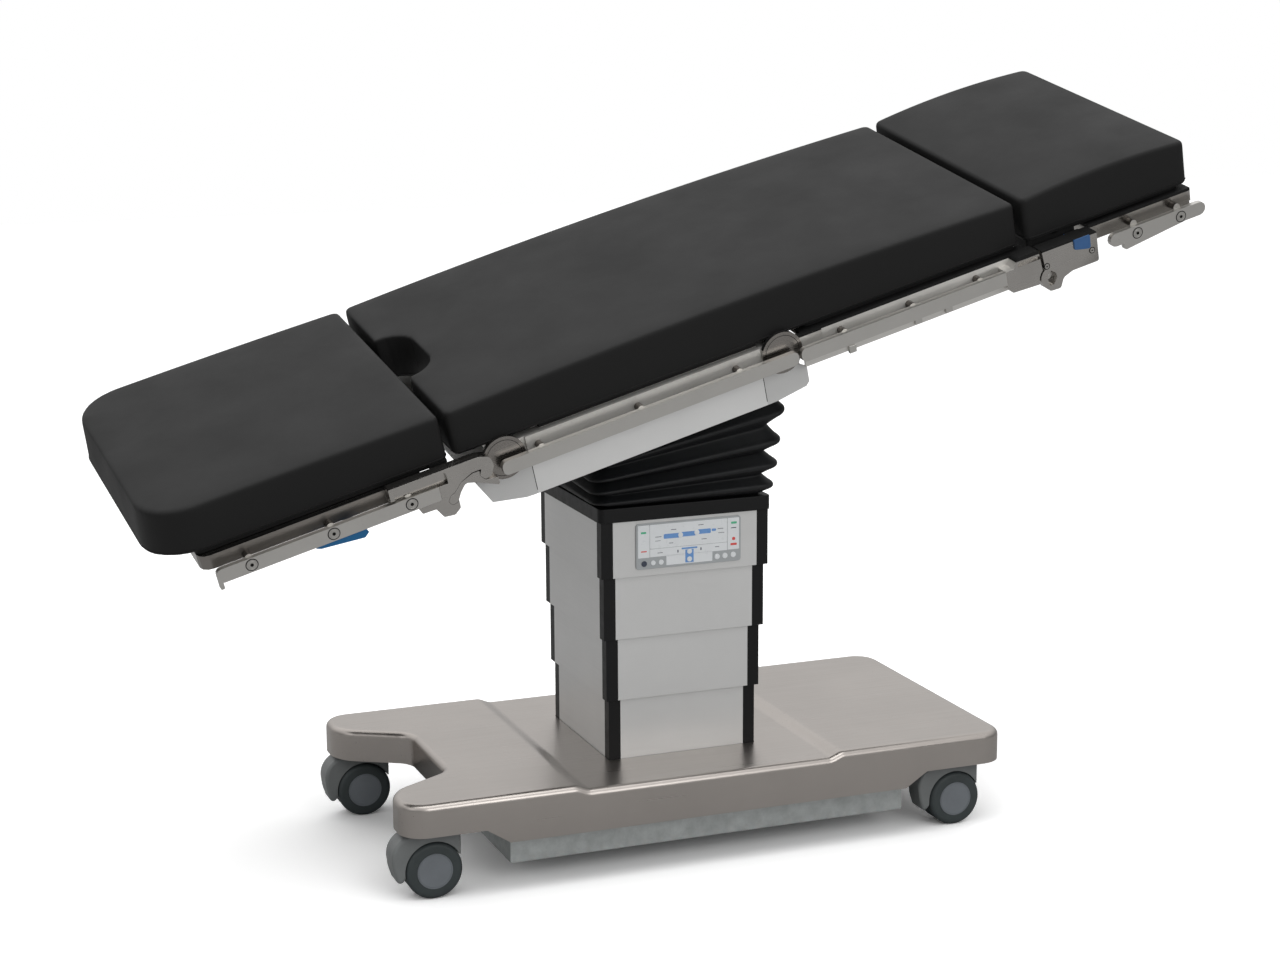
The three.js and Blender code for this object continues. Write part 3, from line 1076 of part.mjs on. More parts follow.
piece(table, 'base_cover', baseCover(), 'baseSteel');
piece(table, 'base_chassis', baseChassis(), 'galvanised');
piece(table, 'power_unit', powerUnit(), 'blackPlastic');
for (const place of castorPlaces()) {
  const castor = new THREE.Group();
  castor.position.set(place.x, place.y, 0);
  const wheels = new THREE.Group();
  wheels.position.z = CASTOR.wheelRadius;
  castor.add(wheels);
  table.add(castor);
  piece(castor, `castor_hood_${place.name}`, castorHood(), 'hood');
  piece(wheels, `castor_hub_${place.name}`, castorHub(), 'hub');
  piece(wheels, `tyre_left_${place.name}`, castorTyre(-1), 'tyre');
  piece(wheels, `tyre_right_${place.name}`, castorTyre(1), 'tyre');
}

for (let n = 0; n < STAGE_COUNT; n += 1) {
  piece(table, `column_corners_${n + 1}`, stageCorners(n), 'blackPlastic');
  piece(table, `column_panels_${n + 1}`, stagePanels(n), 'panel');
}
piece(table, 'top_collar', topCollar(), 'blackPlastic');
piece(table, 'control_panel', controlPanel(), 'keypad');
piece(table, 'lift_cylinder', liftCylinder(), 'ram');
piece(table, 'lift_rod', liftRod(), 'ram');
piece(table, 'head_bracket', headBracket(), 'galvanised');
piece(table, 'bellows', bellows(), 'bellows');
piece(trend, 'gimbal_cross', gimbalCross(), 'steel');

const bend = [BACK_JOINT.u - BEND_HALF, BACK_JOINT.u + BEND_HALF];
piece(top, 'seat_frame', seatFrame(), 'steel');
piece(top, 'housing_cover', housingCover(), 'housing');
piece(top, 'seat_pad', padSlice(SEAT.padFoot - OVERRUN, bend[0]), 'pad');
piece(top, 'pad_bend', padSlice(bend[0] + PAD_GAP, bend[1] - PAD_GAP), 'pad');
piece(top, 'back_frame', backFrame(), 'steel');
piece(top, 'back_joint_shaft', backJointShaft(), 'steel');
piece(top, 'back_board', board(BACK.boardFoot, BACK.boardHead), 'board');
piece(top, 'back_pad', padSlice(bend[1], BACK.padHead + OVERRUN), 'pad');
piece(top, 'head_frame', headFrame(), 'steel');
piece(top, 'head_board', board(HEADREST.boardFoot, HEADREST.boardHead), 'board');
piece(top, 'head_pad', headPad(), 'pad');
piece(top, 'leg_joint_shaft', legJointShaft(), 'steel');
piece(top, 'leg_frame', legFrame(), 'steel');
piece(top, 'leg_board', board(LEG.boardFoot, LEG.boardHead), 'board');
piece(top, 'leg_pad', legPad(), 'pad');
piece(top, 'release_lever', releaseLever(), 'lever');
for (const [side, name] of [[-1, 'near'], [1, 'far']]) {
  piece(top, `seat_rail_${name}`, rail(side, SEAT.railFoot, SEAT.railHead, SEAT.studs), 'steel');
  piece(top, `back_rail_${name}`, rail(side, BACK.railFoot, BACK.railHead, BACK.studs,
    { butts: true }), 'steel');
  piece(top, `head_rail_${name}`, rail(side, HEADREST.railFoot, HEADREST.railHead, HEADREST.studs,
    { keel: true, drop: HEADREST.railDrop, round: RAIL.fullRound }), 'steel');
  piece(top, `leg_rail_${name}`, rail(side, LEG.railFoot, LEG.railHead, LEG.studs,
    { tooth: true, butts: true, plateStud: LEG.plateStud }), 'steel');
  piece(top, `latch_button_${name}`, latchButton(side), 'latch');
}

export default table;
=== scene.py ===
# %% [markdown]
# # A surgical table, dressed for its portrait
# The real table is a steel base on four twin castors, a column of square stages that slide in
# each other, and a padded top that leans lengthwise and sideways. Its plates, rails and covers
# already exist as a CAD frame, exact to the millimetre. This lesson gives them soft edges and
# finishes, and models by hand what CAD leaves plain: pads, bellows, wheels, screws and keypad.

# %% Load the frame
import json
import math

import bpy
import numpy as np
from mathutils import Matrix, Vector

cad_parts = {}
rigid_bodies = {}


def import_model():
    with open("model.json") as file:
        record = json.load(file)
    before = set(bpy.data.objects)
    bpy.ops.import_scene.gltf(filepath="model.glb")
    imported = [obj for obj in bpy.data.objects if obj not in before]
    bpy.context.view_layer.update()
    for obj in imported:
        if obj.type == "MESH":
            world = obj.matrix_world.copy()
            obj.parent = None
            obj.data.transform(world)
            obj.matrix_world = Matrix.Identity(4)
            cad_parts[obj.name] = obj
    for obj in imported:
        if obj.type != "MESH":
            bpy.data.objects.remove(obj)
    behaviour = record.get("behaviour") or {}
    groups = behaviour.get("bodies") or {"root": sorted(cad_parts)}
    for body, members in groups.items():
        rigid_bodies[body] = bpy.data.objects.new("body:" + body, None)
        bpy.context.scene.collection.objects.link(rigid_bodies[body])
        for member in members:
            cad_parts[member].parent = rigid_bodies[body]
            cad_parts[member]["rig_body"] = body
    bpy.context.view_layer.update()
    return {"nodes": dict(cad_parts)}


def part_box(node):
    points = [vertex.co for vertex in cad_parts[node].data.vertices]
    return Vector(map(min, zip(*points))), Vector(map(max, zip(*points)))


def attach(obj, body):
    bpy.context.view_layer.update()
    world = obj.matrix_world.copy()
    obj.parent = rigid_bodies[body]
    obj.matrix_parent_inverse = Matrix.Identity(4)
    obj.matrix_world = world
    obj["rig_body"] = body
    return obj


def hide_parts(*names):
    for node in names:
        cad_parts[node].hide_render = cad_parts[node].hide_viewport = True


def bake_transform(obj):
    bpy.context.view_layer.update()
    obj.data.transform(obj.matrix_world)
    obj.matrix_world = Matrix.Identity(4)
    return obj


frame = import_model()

NODES = frame["nodes"]
scene = bpy.context.scene

# %% [markdown]
# ## Two small habits
# Operators act on whatever is selected, so each step starts with nothing selected and one
# active object. A second helper opens a mesh in edit mode with just the points, edges or faces
# chosen that a test accepts, which is how a hand would click them.

# %% Selection helpers
def quiet():
    """Object mode with nothing selected."""
    if bpy.context.object and bpy.context.object.mode != "OBJECT":
        bpy.ops.object.mode_set(mode="OBJECT")
    bpy.ops.object.select_all(action="DESELECT")


def take(*objs):
    """Selects the pieces, with the first one active."""
    quiet()
    for obj in objs:
        obj.select_set(True)
    bpy.context.view_layer.objects.active = objs[0]
    return objs[0]


def pick(obj, kind, test):
    """Edit mode with the points, edges or faces selected that pass the test."""
    if obj.mode == "EDIT":
        bpy.ops.object.mode_set(mode="OBJECT")
    take(obj)
    mesh = obj.data
    for parts in (mesh.vertices, mesh.edges, mesh.polygons):
        parts.foreach_set("select", [False] * len(parts))
    spot = [v.co for v in mesh.vertices]
    if kind == "VERT":
        chosen = [v for v in mesh.vertices if test(v.co)]
    elif kind == "EDGE":
        chosen = [e for e in mesh.edges if test(spot[e.vertices[0]], spot[e.vertices[1]])]
    else:
        chosen = [p for p in mesh.polygons if test(p.center, p.normal)]
    for part in chosen:
        part.select = True
    modes = tuple(kind == k for k in ("VERT", "EDGE", "FACE"))
    bpy.context.tool_settings.mesh_select_mode = modes
    bpy.ops.object.mode_set(mode="EDIT")
    return len(chosen)


def shut():
    """Back to object mode."""
    bpy.ops.object.mode_set(mode="OBJECT")


# %% [markdown]
# ## Boxes, copies, cuts and soft edges
# The same few moves shape nearly every piece: a box between two corners, a copy with its own
# mesh, a cut with a plane, a shape taken out of another, and a Bevel on the sharp edges. Each is
# written once here. A piece's place always ends up in its mesh, so that patterns stay put.

# %% Piece helpers
def place_in_mesh():
    bpy.ops.object.transform_apply(location=True, rotation=True, scale=True)


def named(name):
    """The piece just made, with its name on the object and on the mesh."""
    obj = bpy.context.object
    obj.name = obj.data.name = name
    return obj


def brick(name, low, high):
    """A box between two corners, in metres."""
    quiet()
    middle = [(a + b) / 2 for a, b in zip(low, high)]
    sides = [b - a for a, b in zip(low, high)]
    bpy.ops.mesh.primitive_cube_add(size=1, location=middle, scale=sides)
    place_in_mesh()
    return named(name)


def twin(obj, name):
    """A copy with its own mesh."""
    piece = obj.copy()
    piece.data = obj.data.copy()
    piece.name = piece.data.name = name
    scene.collection.objects.link(piece)
    return piece


def slice_across(obj, point, normal, **clear):
    """Cuts a piece with a plane, which leaves a row of points there."""
    pick(obj, "VERT", lambda c: True)
    bpy.ops.mesh.bisect(plane_co=point, plane_no=normal, **clear)
    shut()


# %% Modifier helpers
def modify(obj, kind, **settings):
    """Adds a modifier and applies it at once."""
    take(obj)
    modifier = obj.modifiers.new(kind.lower(), kind)
    for key, value in settings.items():
        setattr(modifier, key, value)
    bpy.ops.object.modifier_apply(modifier=modifier.name)


def cut_away(obj, cutter):
    """Takes the cutter's shape out of a piece and drops the cutter."""
    modify(obj, "BOOLEAN", operation="DIFFERENCE", object=cutter, solver="EXACT")
    bpy.data.objects.remove(cutter)


def shade_round(obj, angle):
    """Shades edges that are flatter than the angle as round, large faces first."""
    take(obj)
    bpy.ops.object.shade_smooth_by_angle(angle=math.radians(angle))
    modify(obj, "WEIGHTED_NORMAL", keep_sharp=True)


def soften(obj, width, segments=2, angle=30):
    """Rounds the edges that are sharper than the angle."""
    modify(obj, "BEVEL", width=width, segments=segments, limit_method="ANGLE",
           angle_limit=math.radians(angle))
    shade_round(obj, angle)


def settle(obj, body, finish):
    """Puts a finished piece in its material and on its body."""
    obj.data.materials.clear()
    obj.data.materials.append(finish)
    if body:
        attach(obj, body)
    return obj


# %% [markdown]
# ## Where the top stands
# The top turns about one point over the column: 16.08 degrees lengthwise and 12.61 degrees
# sideways. Pieces of the top are modelled flat, in the top's own axes, and then moved by this
# one matrix, so that a rail is a straight bar while it is worked on. In those axes u runs along
# the top towards the head, v across it and w up from the pivot.

# %% The top's axes
PIVOT = Vector((0, 0, 0.8125))
LEAN, ROLL = math.radians(16.08), math.radians(12.61)
TURN = Matrix.Rotation(-LEAN, 4, "Y") @ Matrix.Rotation(ROLL, 4, "X")
TOP = Matrix.Translation(PIVOT) @ TURN
TO_FLAT, TO_UPRIGHT = TOP.inverted(), TURN.inverted()
SIDES = (("near", -1), ("far", 1))
JOINT_U = {"back": 0.146, "leg": -0.375}
JOINT_W = 0.121


def on_top(obj):
    """Moves a piece from the top's axes to its place on the table, into its mesh."""
    take(obj)
    obj.matrix_world = TOP
    place_in_mesh()
    return obj


head_joint = TOP @ Vector((JOINT_U["back"], 0, JOINT_W))
print("back joint stands at", [round(c, 3) for c in head_joint])

# %% [markdown]
# ## Camera
# The portrait was fitted to straight edges of the table: a long lens about 4.6 m away, a little
# above the base, and turned 21 degrees towards the foot end. The camera is built from its own
# three axes, so nothing has to be aimed by eye.

# %% Camera
AZIMUTH, DOWN, TWIST = math.radians(-21.24), math.radians(11.64), math.radians(-0.29)
STANDS = (-1.594, -4.0412, 1.5361)
SENSOR_MM, FOCAL_PIXELS, WIDE_PIXELS = 36, 2436.6, 1280
level = math.cos(DOWN)
ahead = Vector((-math.sin(AZIMUTH) * level, math.cos(AZIMUTH) * level, -math.sin(DOWN)))
flat = Vector((math.cos(AZIMUTH), math.sin(AZIMUTH), 0))
rise = flat.cross(ahead)
right = flat * math.cos(TWIST) + rise * math.sin(TWIST)
over = rise * math.cos(TWIST) - flat * math.sin(TWIST)
axes = Matrix((right, over, -ahead)).transposed()
quiet()
bpy.ops.object.camera_add()
camera = bpy.context.object
camera.matrix_world = Matrix.Translation(STANDS) @ axes.to_4x4()
camera.data.sensor_width = SENSOR_MM
camera.data.lens = SENSOR_MM * FOCAL_PIXELS / WIDE_PIXELS
camera.data.clip_end = 60
scene.camera = camera
print("lens", round(camera.data.lens, 2), "mm")

# %% [markdown]
# ## Light and floor
# A white sweep behind and under the table, a wide soft light over it and a softer one on the
# keypad side. The world shows plain white to the camera. To the table it is a studio that is
# bright overhead, dim at the height of the table, and has a white backdrop behind it, so tops
# read lighter than sides. The floor is paler to the camera than to the table: it melts into the
# backdrop and keeps the wheels' shadows.

# %% Node helper
def add(tree, kind, inputs=None, **settings):
    """A node with its settings and the values of its inputs."""
    node = tree.nodes.new(kind)
    for key, value in settings.items():
        setattr(node, key, value)
    for key, value in (inputs or {}).items():
        node.inputs[key].default_value = value
    return node


# %% World
SKY_LOW, SKY_HIGH, BACKDROP = 0.2, 1.05, 0.36
WHITE = (1, 1, 1, 1)
scene.view_settings.view_transform = "Standard"
world = bpy.data.worlds.new("sweep")
scene.world = world
world.use_nodes = True
tree = world.node_tree
tree.nodes.clear()
studio = add(tree, "ShaderNodeBackground", {"Color": WHITE})
white = add(tree, "ShaderNodeBackground", {"Color": WHITE, "Strength": 1.0})
way = add(tree, "ShaderNodeTexCoord")
split = add(tree, "ShaderNodeSeparateXYZ")
tree.links.new(way.outputs["Generated"], split.inputs[0])
both = add(tree, "ShaderNodeMath", operation="ADD")
for slot, (axis, start, end, low, high) in enumerate((("Z", -0.05, 0.85, SKY_LOW, SKY_HIGH),
                                                      ("Y", 0.2, 0.9, 0.0, BACKDROP))):
    fade = add(tree, "ShaderNodeMapRange", {"From Min": start, "From Max": end, "To Min": low,
                                            "To Max": high}, interpolation_type="SMOOTHSTEP")
    tree.links.new(split.outputs[axis], fade.inputs["Value"])
    tree.links.new(fade.outputs["Result"], both.inputs[slot])
tree.links.new(both.outputs[0], studio.inputs["Strength"])
seen = add(tree, "ShaderNodeLightPath")
mixed = add(tree, "ShaderNodeMixShader")
tree.links.new(seen.outputs["Is Camera Ray"], mixed.inputs["Fac"])
tree.links.new(studio.outputs[0], mixed.inputs[1])
tree.links.new(white.outputs[0], mixed.inputs[2])
tree.links.new(mixed.outputs[0], add(tree, "ShaderNodeOutputWorld").inputs["Surface"])
print("world:", len(tree.nodes), "nodes")


# %% Lamps
AIM = (0, 0, 0.6)


def lamp(name, place, size, watts):
    """A rectangular soft light that looks at the middle of the table."""
    quiet()
    bpy.ops.object.light_add(type="AREA", location=place)
    light = bpy.context.object
    light.name = name
    light.data.shape = "RECTANGLE"
    light.data.size, light.data.size_y = size
    light.data.energy = watts
    light.rotation_euler = (Vector(AIM) - Vector(place)).to_track_quat("-Z", "Y").to_euler()
    print(name, watts, "W")


lamp("overhead", (-0.3, -0.6, 4.2), (3.6, 2.6), 62)
lamp("keypad_side", (0.9, -4.6, 2.2), (2.6, 2.2), 46)
lamp("foot_side", (-4.4, -1.6, 2.4), (2.2, 2.2), 8)

# %% Floor
FLOOR_TO_TABLE, FLOOR_TO_CAMERA = 0.4, 1.25
quiet()
bpy.ops.mesh.primitive_plane_add(size=24, location=(0, 0, 0))
floor = bpy.context.object
floor.name = "floor"
sweep = bpy.data.materials.new("white_floor")
sweep.use_nodes = True
tree = sweep.node_tree
tree.nodes.clear()
seen = add(tree, "ShaderNodeLightPath")
pale = add(tree, "ShaderNodeMapRange", {"To Min": FLOOR_TO_TABLE, "To Max": FLOOR_TO_CAMERA})
tree.links.new(seen.outputs["Is Camera Ray"], pale.inputs["Value"])
matte = add(tree, "ShaderNodeBsdfDiffuse")
tree.links.new(pale.outputs["Result"], matte.inputs["Color"])
tree.links.new(matte.outputs[0], add(tree, "ShaderNodeOutputMaterial").inputs["Surface"])
floor.data.materials.append(sweep)

# %% [markdown]
# ## Effects that several finishes share
# Steel is brushed, plastic is finely grained, and nothing in use is evenly glossy. Each of
# these is one node group with a vector in and a value out. Brushed lines are noise that is
# stretched along the stroke. Mottling is slow noise between two levels. Leather grain is the
# cell edges of a Voronoi pattern, softened by finer noise.

# %% Group helper
FLOAT, VECTOR = "NodeSocketFloat", "NodeSocketVector"


def new_group(name, inputs, outputs):
    """An empty node group with named sockets, and its two end nodes."""
    group = bpy.data.node_groups.new(name, "ShaderNodeTree")
    for label, kind, value in inputs:
        socket = group.interface.new_socket(label, in_out="INPUT", socket_type=kind)
        if value is not None:
            socket.default_value = value
    for label, kind in outputs:
        group.interface.new_socket(label, in_out="OUTPUT", socket_type=kind)
    return group, group.nodes.new("NodeGroupInput"), group.nodes.new("NodeGroupOutput")


# %% Mottling
mottle, start, end = new_group(
    "mottling",
    [("Vector", VECTOR, None), ("Scale", FLOAT, 6.0), ("Low", FLOAT, 0.0), ("High", FLOAT, 1.0)],
    [("Value", FLOAT)],
)
noise = add(mottle, "ShaderNodeTexNoise", {"Detail": 5, "Roughness": 0.6})
spread = add(mottle, "ShaderNodeMapRange", {"From Min": 0.3, "From Max": 0.7})
mottle.links.new(start.outputs["Vector"], noise.inputs["Vector"])
mottle.links.new(start.outputs["Scale"], noise.inputs["Scale"])
mottle.links.new(noise.outputs["Fac"], spread.inputs["Value"])
mottle.links.new(start.outputs["Low"], spread.inputs["To Min"])
mottle.links.new(start.outputs["High"], spread.inputs["To Max"])
mottle.links.new(spread.outputs["Result"], end.inputs["Value"])

# %% Brushed lines
brushed, start, end = new_group(
    "brushed_lines",
    [("Vector", VECTOR, None), ("Stroke", VECTOR, (3.0, 500.0, 500.0))],
    [("Lines", FLOAT)],
)
stretch = add(brushed, "ShaderNodeVectorMath", operation="MULTIPLY")
noise = add(brushed, "ShaderNodeTexNoise", {"Scale": 1, "Detail": 3})
brushed.links.new(start.outputs["Vector"], stretch.inputs[0])
brushed.links.new(start.outputs["Stroke"], stretch.inputs[1])
brushed.links.new(stretch.outputs["Vector"], noise.inputs["Vector"])
brushed.links.new(noise.outputs["Fac"], end.inputs["Lines"])

# %% Leather grain
FINE_SHARE, FINE_SCALE = 0.35, 2.3
leather, start, end = new_group(
    "leather_grain", [("Vector", VECTOR, None), ("Scale", FLOAT, 700.0)], [("Height", FLOAT)])
cells = add(leather, "ShaderNodeTexVoronoi", feature="DISTANCE_TO_EDGE")
fine = add(leather, "ShaderNodeTexNoise", {"Detail": 4})
warp = add(leather, "ShaderNodeMath", {1: FINE_SHARE}, operation="MULTIPLY_ADD")
finer = add(leather, "ShaderNodeMath", {1: FINE_SCALE}, operation="MULTIPLY")
leather.links.new(start.outputs["Vector"], cells.inputs["Vector"])
leather.links.new(start.outputs["Scale"], cells.inputs["Scale"])
leather.links.new(start.outputs["Vector"], fine.inputs["Vector"])
leather.links.new(start.outputs["Scale"], finer.inputs[0])
leather.links.new(finer.outputs[0], fine.inputs["Scale"])
leather.links.new(fine.outputs["Fac"], warp.inputs[0])
leather.links.new(cells.outputs["Distance"], warp.inputs[2])
leather.links.new(warp.outputs[0], end.inputs["Height"])
print("groups:", [g.name for g in bpy.data.node_groups])

# %% [markdown]
# ## Finishes
# One maker serves every finish: a colour that mottles between two shades, a roughness that mottles
# between two levels, and a bump from brushed lines or grain. Values that are the same all over, such
# as the specular level, go on the shader's own sockets. The grain of the top's pieces is turned with
# the top by a Mapping node.

# %% Finish maker
STREAKS, PATCHES, PATCH_SCALE = (-0.09, 0.13), (-0.05, 0.06), 2.3


def linear(hexa, factor=1.0):
    """A written colour as the linear numbers that a shader takes."""
    parts = [int(hexa[i:i + 2], 16) / 255 for i in (1, 3, 5)]
    parts = [c / 12.92 if c <= 0.04045 else ((c + 0.055) / 1.055) ** 2.4 for c in parts]
    return [min(c * factor, 1.0) for c in parts] + [1.0]


def finish(name, hexa, rough, metallic=0.0, vary=0.08, size=7.0, stroke=None, grain=None,
           bump=0.1, depth=0.0004, turned=False, **sockets):
    """A material from its colour and roughness, brushed by a stroke or grained by a scale."""
    material = bpy.data.materials.new(name)
    material.use_nodes = True
    tree = material.node_tree
    shader = tree.nodes["Principled BSDF"]
    shader.inputs["Metallic"].default_value = metallic
    for key, value in sockets.items():
        shader.inputs[key.replace("_", " ")].default_value = value
    place = add(tree, "ShaderNodeTexCoord").outputs["Object"]
    if turned:
        turn = add(tree, "ShaderNodeMapping", {"Rotation": TO_UPRIGHT.to_euler()})
        tree.links.new(place, turn.inputs["Vector"])
        place = turn.outputs["Vector"]

    def effect(group, output, **values):
        node = add(tree, "ShaderNodeGroup", node_tree=group)
        for key, value in values.items():
            node.inputs[key].default_value = value
        tree.links.new(place, node.inputs["Vector"])
        return node.outputs[output]

    tint = add(tree, "ShaderNodeMix", data_type="RGBA")
    tint.inputs[6].default_value = linear(hexa, 1 - vary)
    tint.inputs[7].default_value = linear(hexa, 1 + vary)
    tree.links.new(effect(mottle, "Value", Scale=size, Low=0, High=1), tint.inputs[0])
    tree.links.new(tint.outputs[2], shader.inputs["Base Color"])
    height = None
    if stroke:
        height = effect(brushed, "Lines", Stroke=stroke)
        streak = add(tree, "ShaderNodeMapRange",
                     {"To Min": rough + STREAKS[0], "To Max": rough + STREAKS[1]})
        tree.links.new(height, streak.inputs["Value"])
        tree.links.new(streak.outputs["Result"], shader.inputs["Roughness"])
    else:
        patches = effect(mottle, "Value", Scale=size * PATCH_SCALE, Low=rough + PATCHES[0],
                         High=rough + PATCHES[1])
        tree.links.new(patches, shader.inputs["Roughness"])
        if grain:
            height = effect(leather, "Height", Scale=grain)
    if height is not None:
        relief = add(tree, "ShaderNodeBump", {"Strength": bump, "Distance": depth})
        tree.links.new(height, relief.inputs["Height"])
        tree.links.new(relief.outputs["Normal"], shader.inputs["Normal"])
    return material


# %% Steel finishes
ALONG, FINELY, COARSELY = (6, 420, 420), (9, 520, 520), (9, 300, 300)
TOP_STEEL = finish("frame_steel", "#a9a6a2", 0.22, 1.0, 0.05, 14, ALONG, bump=0.12, turned=True)
DISC_STEEL = finish("disc_steel", "#8a8682", 0.26, 1.0, 0.05, 14, ALONG, bump=0.1, turned=True)
RAIL_STEEL = finish("rail_steel", "#bebcb8", 0.31, 1.0, 0.04, 9, FINELY, bump=0.08, turned=True)
# Seat and back frames' side plates: a lighter, rougher copy of the frame steel, a painted reflection
# of the bright studio.
PLATE_STEEL_PAINTED_REFLECTION = finish("plate_steel", "#d3d1cd", 0.46, 0.8, 0.04, 9, COARSELY, bump=0.05,
                     turned=True)
# Leg frame's side plates: a darker copy of the frame steel, a painted dark reflection.
LEG_PLATE = finish("leg_plate_painted_dark_reflection", "#85817d", 0.33, 1.0, 0.05, 9, (9, 420, 420), bump=0.08,
                   turned=True)
STUD_STEEL = finish("stud_steel", "#5f5b57", 0.3, 1.0, 0.05, 30, grain=1600, bump=0.2,
                    turned=True)
SCREW_STEEL = finish("screw_steel", "#b4b2ae", 0.3, 1.0, 0.05, 60, grain=2400, bump=0.05,
                     turned=True)
BASE_STEEL = finish("base_steel", "#aca6a1", 0.3, 1.0, 0.05, 4, (5, 340, 340), bump=0.1)
PANEL_STEEL = finish("panel_steel", "#d4d4d3", 0.38, 0.6, 0.03, 5, (5, 5, 420), bump=0.05)
GALVANISED = finish("galvanised_steel", "#b9bdbc", 0.48, 0.7, 0.16, 42, grain=160, bump=0.12)
RAM_CHROME = finish("ram_chrome", "#8a8d8f", 0.16, 1.0, 0.04, 20, (400, 400, 6), bump=0.03)

# %% Plastic, rubber and cover finishes
PAD_COVER = finish("pad_cover", "#1f1f1f", 0.52, 0.0, 0.03, 3, grain=620, bump=0.12, depth=0.0003,
                   turned=True, Specular_IOR_Level=0.12)
SEAM_TRIM = finish("pad_seam", "#0c0c0c", 0.5, 0.0, 0.08, 30, grain=900, bump=0.1, turned=True,
                   Specular_IOR_Level=0.2)
BOARD = finish("board_laminate", "#1a1a1a", 0.6, 0.0, 0.12, 20, grain=500, bump=0.12, turned=True,
               Specular_IOR_Level=0.15)
# Painted shade: thin rings, strips and sockets that stand for the shade in grooves, gaps and
# hollows.
SHADOW = finish("painted_shade_line", "#141312", 0.6, 0.0, 0.1, 60, grain=900, bump=0.08, turned=True,
                Specular_IOR_Level=0.1)
BELLOWS = finish("bellows_rubber", "#0d0f11", 0.58, 0.0, 0.2, 24, grain=340, bump=0.16,
                 depth=0.0006, Specular_IOR_Level=0.35)
PANEL_LIGHT = finish("housing_panel", "#dededd", 0.42, 0.0, 0.03, 5, grain=1200, bump=0.05,
                     turned=True)
BLACK = finish("black_plastic", "#0c0c0d", 0.45, 0.0, 0.12, 26, grain=900, bump=0.1,
               Specular_IOR_Level=0.25)
HOUSING = finish("housing_plastic", "#c9c9c8", 0.42, 0.0, 0.03, 5, grain=1200, bump=0.06,
                 turned=True)
HOOD = finish("castor_plastic", "#707373", 0.4, 0.0, 0.05, 30, grain=1000, bump=0.08)
HUB = finish("hub_plastic", "#70757a", 0.38, 0.0, 0.05, 34, grain=1100, bump=0.06)
TYRE = finish("tyre_rubber", "#343b3c", 0.55, 0.0, 0.1, 40, grain=700, bump=0.12)
LEVER = finish("lever_blue", "#00649a", 0.5, 0.0, 0.05, 30, grain=1100, bump=0.05, turned=True)
LATCH = finish("latch_blue", "#2f5a8c", 0.36, 0.0, 0.05, 60, grain=1100, bump=0.05, turned=True)

# %% Keypad finishes
KEYPAD_RIM = finish("keypad_rim", "#a3a7a9", 0.36, 0.0, 0.03, 40, grain=1500, bump=0.04)
KEYPAD_FIELD = finish("keypad_field", "#dfe2e4", 0.3, 0.0, 0.02, 40, grain=1500, bump=0.03)
INKS = {"blue": "#6a97cf", "green": "#4fb389", "red": "#d6504a", "dark": "#3a4150"}
KEYPAD_INK = {}
for ink, colour in INKS.items():
    KEYPAD_INK[ink] = finish("keypad_" + ink, colour, 0.3, 0.0, 0.04, 60, grain=1500, bump=0.03)
print("finishes:", len(bpy.data.materials))

# %% [markdown]
# ## Soft edges for the rigid parts
# No folded sheet or milled plate has a knife edge: a small round along each edge catches the
# light and makes metal look like metal. A CAD node can't be changed, so a copy is merged, its
# flat faces are dissolved into single ones, and a Bevel rounds what is left. The copy then
# stands for the node on the same body.

# %% Dress one CAD node
SHARED_POINTS, FLAT_DEGREES = 0.00002, 0.6


def dress(node, material, width=0.0007, segments=2, angle=30):
    """A copy of a CAD node, with soft edges and a finish, that stands for the node."""
    source = NODES[node]
    body = source["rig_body"]
    piece = twin(source, node + "_shown")
    for key in [k for k in piece.keys() if k.startswith("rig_")]:
        del piece[key]
    piece.parent = None
    piece.matrix_world = Matrix.Identity(4)
    pick(piece, "VERT", lambda c: True)
    bpy.ops.mesh.customdata_custom_splitnormals_clear()
    bpy.ops.mesh.remove_doubles(threshold=SHARED_POINTS)
    bpy.ops.mesh.dissolve_limited(angle_limit=math.radians(FLAT_DEGREES))
    shut()
    soften(piece, width, segments, angle)
    settle(piece, body, material)
    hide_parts(node)
    return piece


def carry(node, material):
    """A CAD node that stays as it is, in a better finish."""
    for place in NODES[node].material_slots:
        place.material = material


# %% [markdown]
# ## Base
# The lid of the base is folded and drawn from one stainless sheet, so its shoulders flow down
# to the middle part in one soft line, which a plain bevel can't give. It starts as a box in
# plan, loses the notch for the surgeon's feet, and gets its upright and upper edges rounded.
# Cuts across it give it rows of points near both ramps. The middle is then lowered by a smooth
# step, the skirt is drawn down between the castors, and the sheet gets its thickness last.

# %% Cover in plan
FOOT_END, HEAD_END, HALF_WIDTH = -0.56, 0.586, 0.2855
TOP_Z, SKIRT_Z = 0.1785, 0.121
NOTCH_IN, NOTCH_OUT, NOTCH_HALF = -0.435, -0.60, 0.184
NOTCH_IN_HALF, NOTCH_OUT_HALF = 0.110, 0.2079
cover = brick("base_lid", (FOOT_END, -HALF_WIDTH, SKIRT_Z), (HEAD_END, HALF_WIDTH, TOP_Z))
wedge = brick("foot_notch", (NOTCH_OUT, -NOTCH_HALF, 0.08), (NOTCH_IN, NOTCH_HALF, 0.22))
for chosen, half in ((lambda c: c.x > -0.5, NOTCH_IN_HALF), (lambda c: c.x < -0.5, NOTCH_OUT_HALF)):
    pick(wedge, "VERT", chosen)
    bpy.ops.transform.resize(value=(1, half / NOTCH_HALF, 1))
    shut()
cut_away(cover, wedge)


def round_edges(obj, chosen, offset, segments):
    """A round along the edges that are chosen by their two ends."""
    pick(obj, "EDGE", chosen)
    bpy.ops.mesh.bevel(offset=offset, offset_type="OFFSET", segments=segments, affect="EDGES")
    shut()


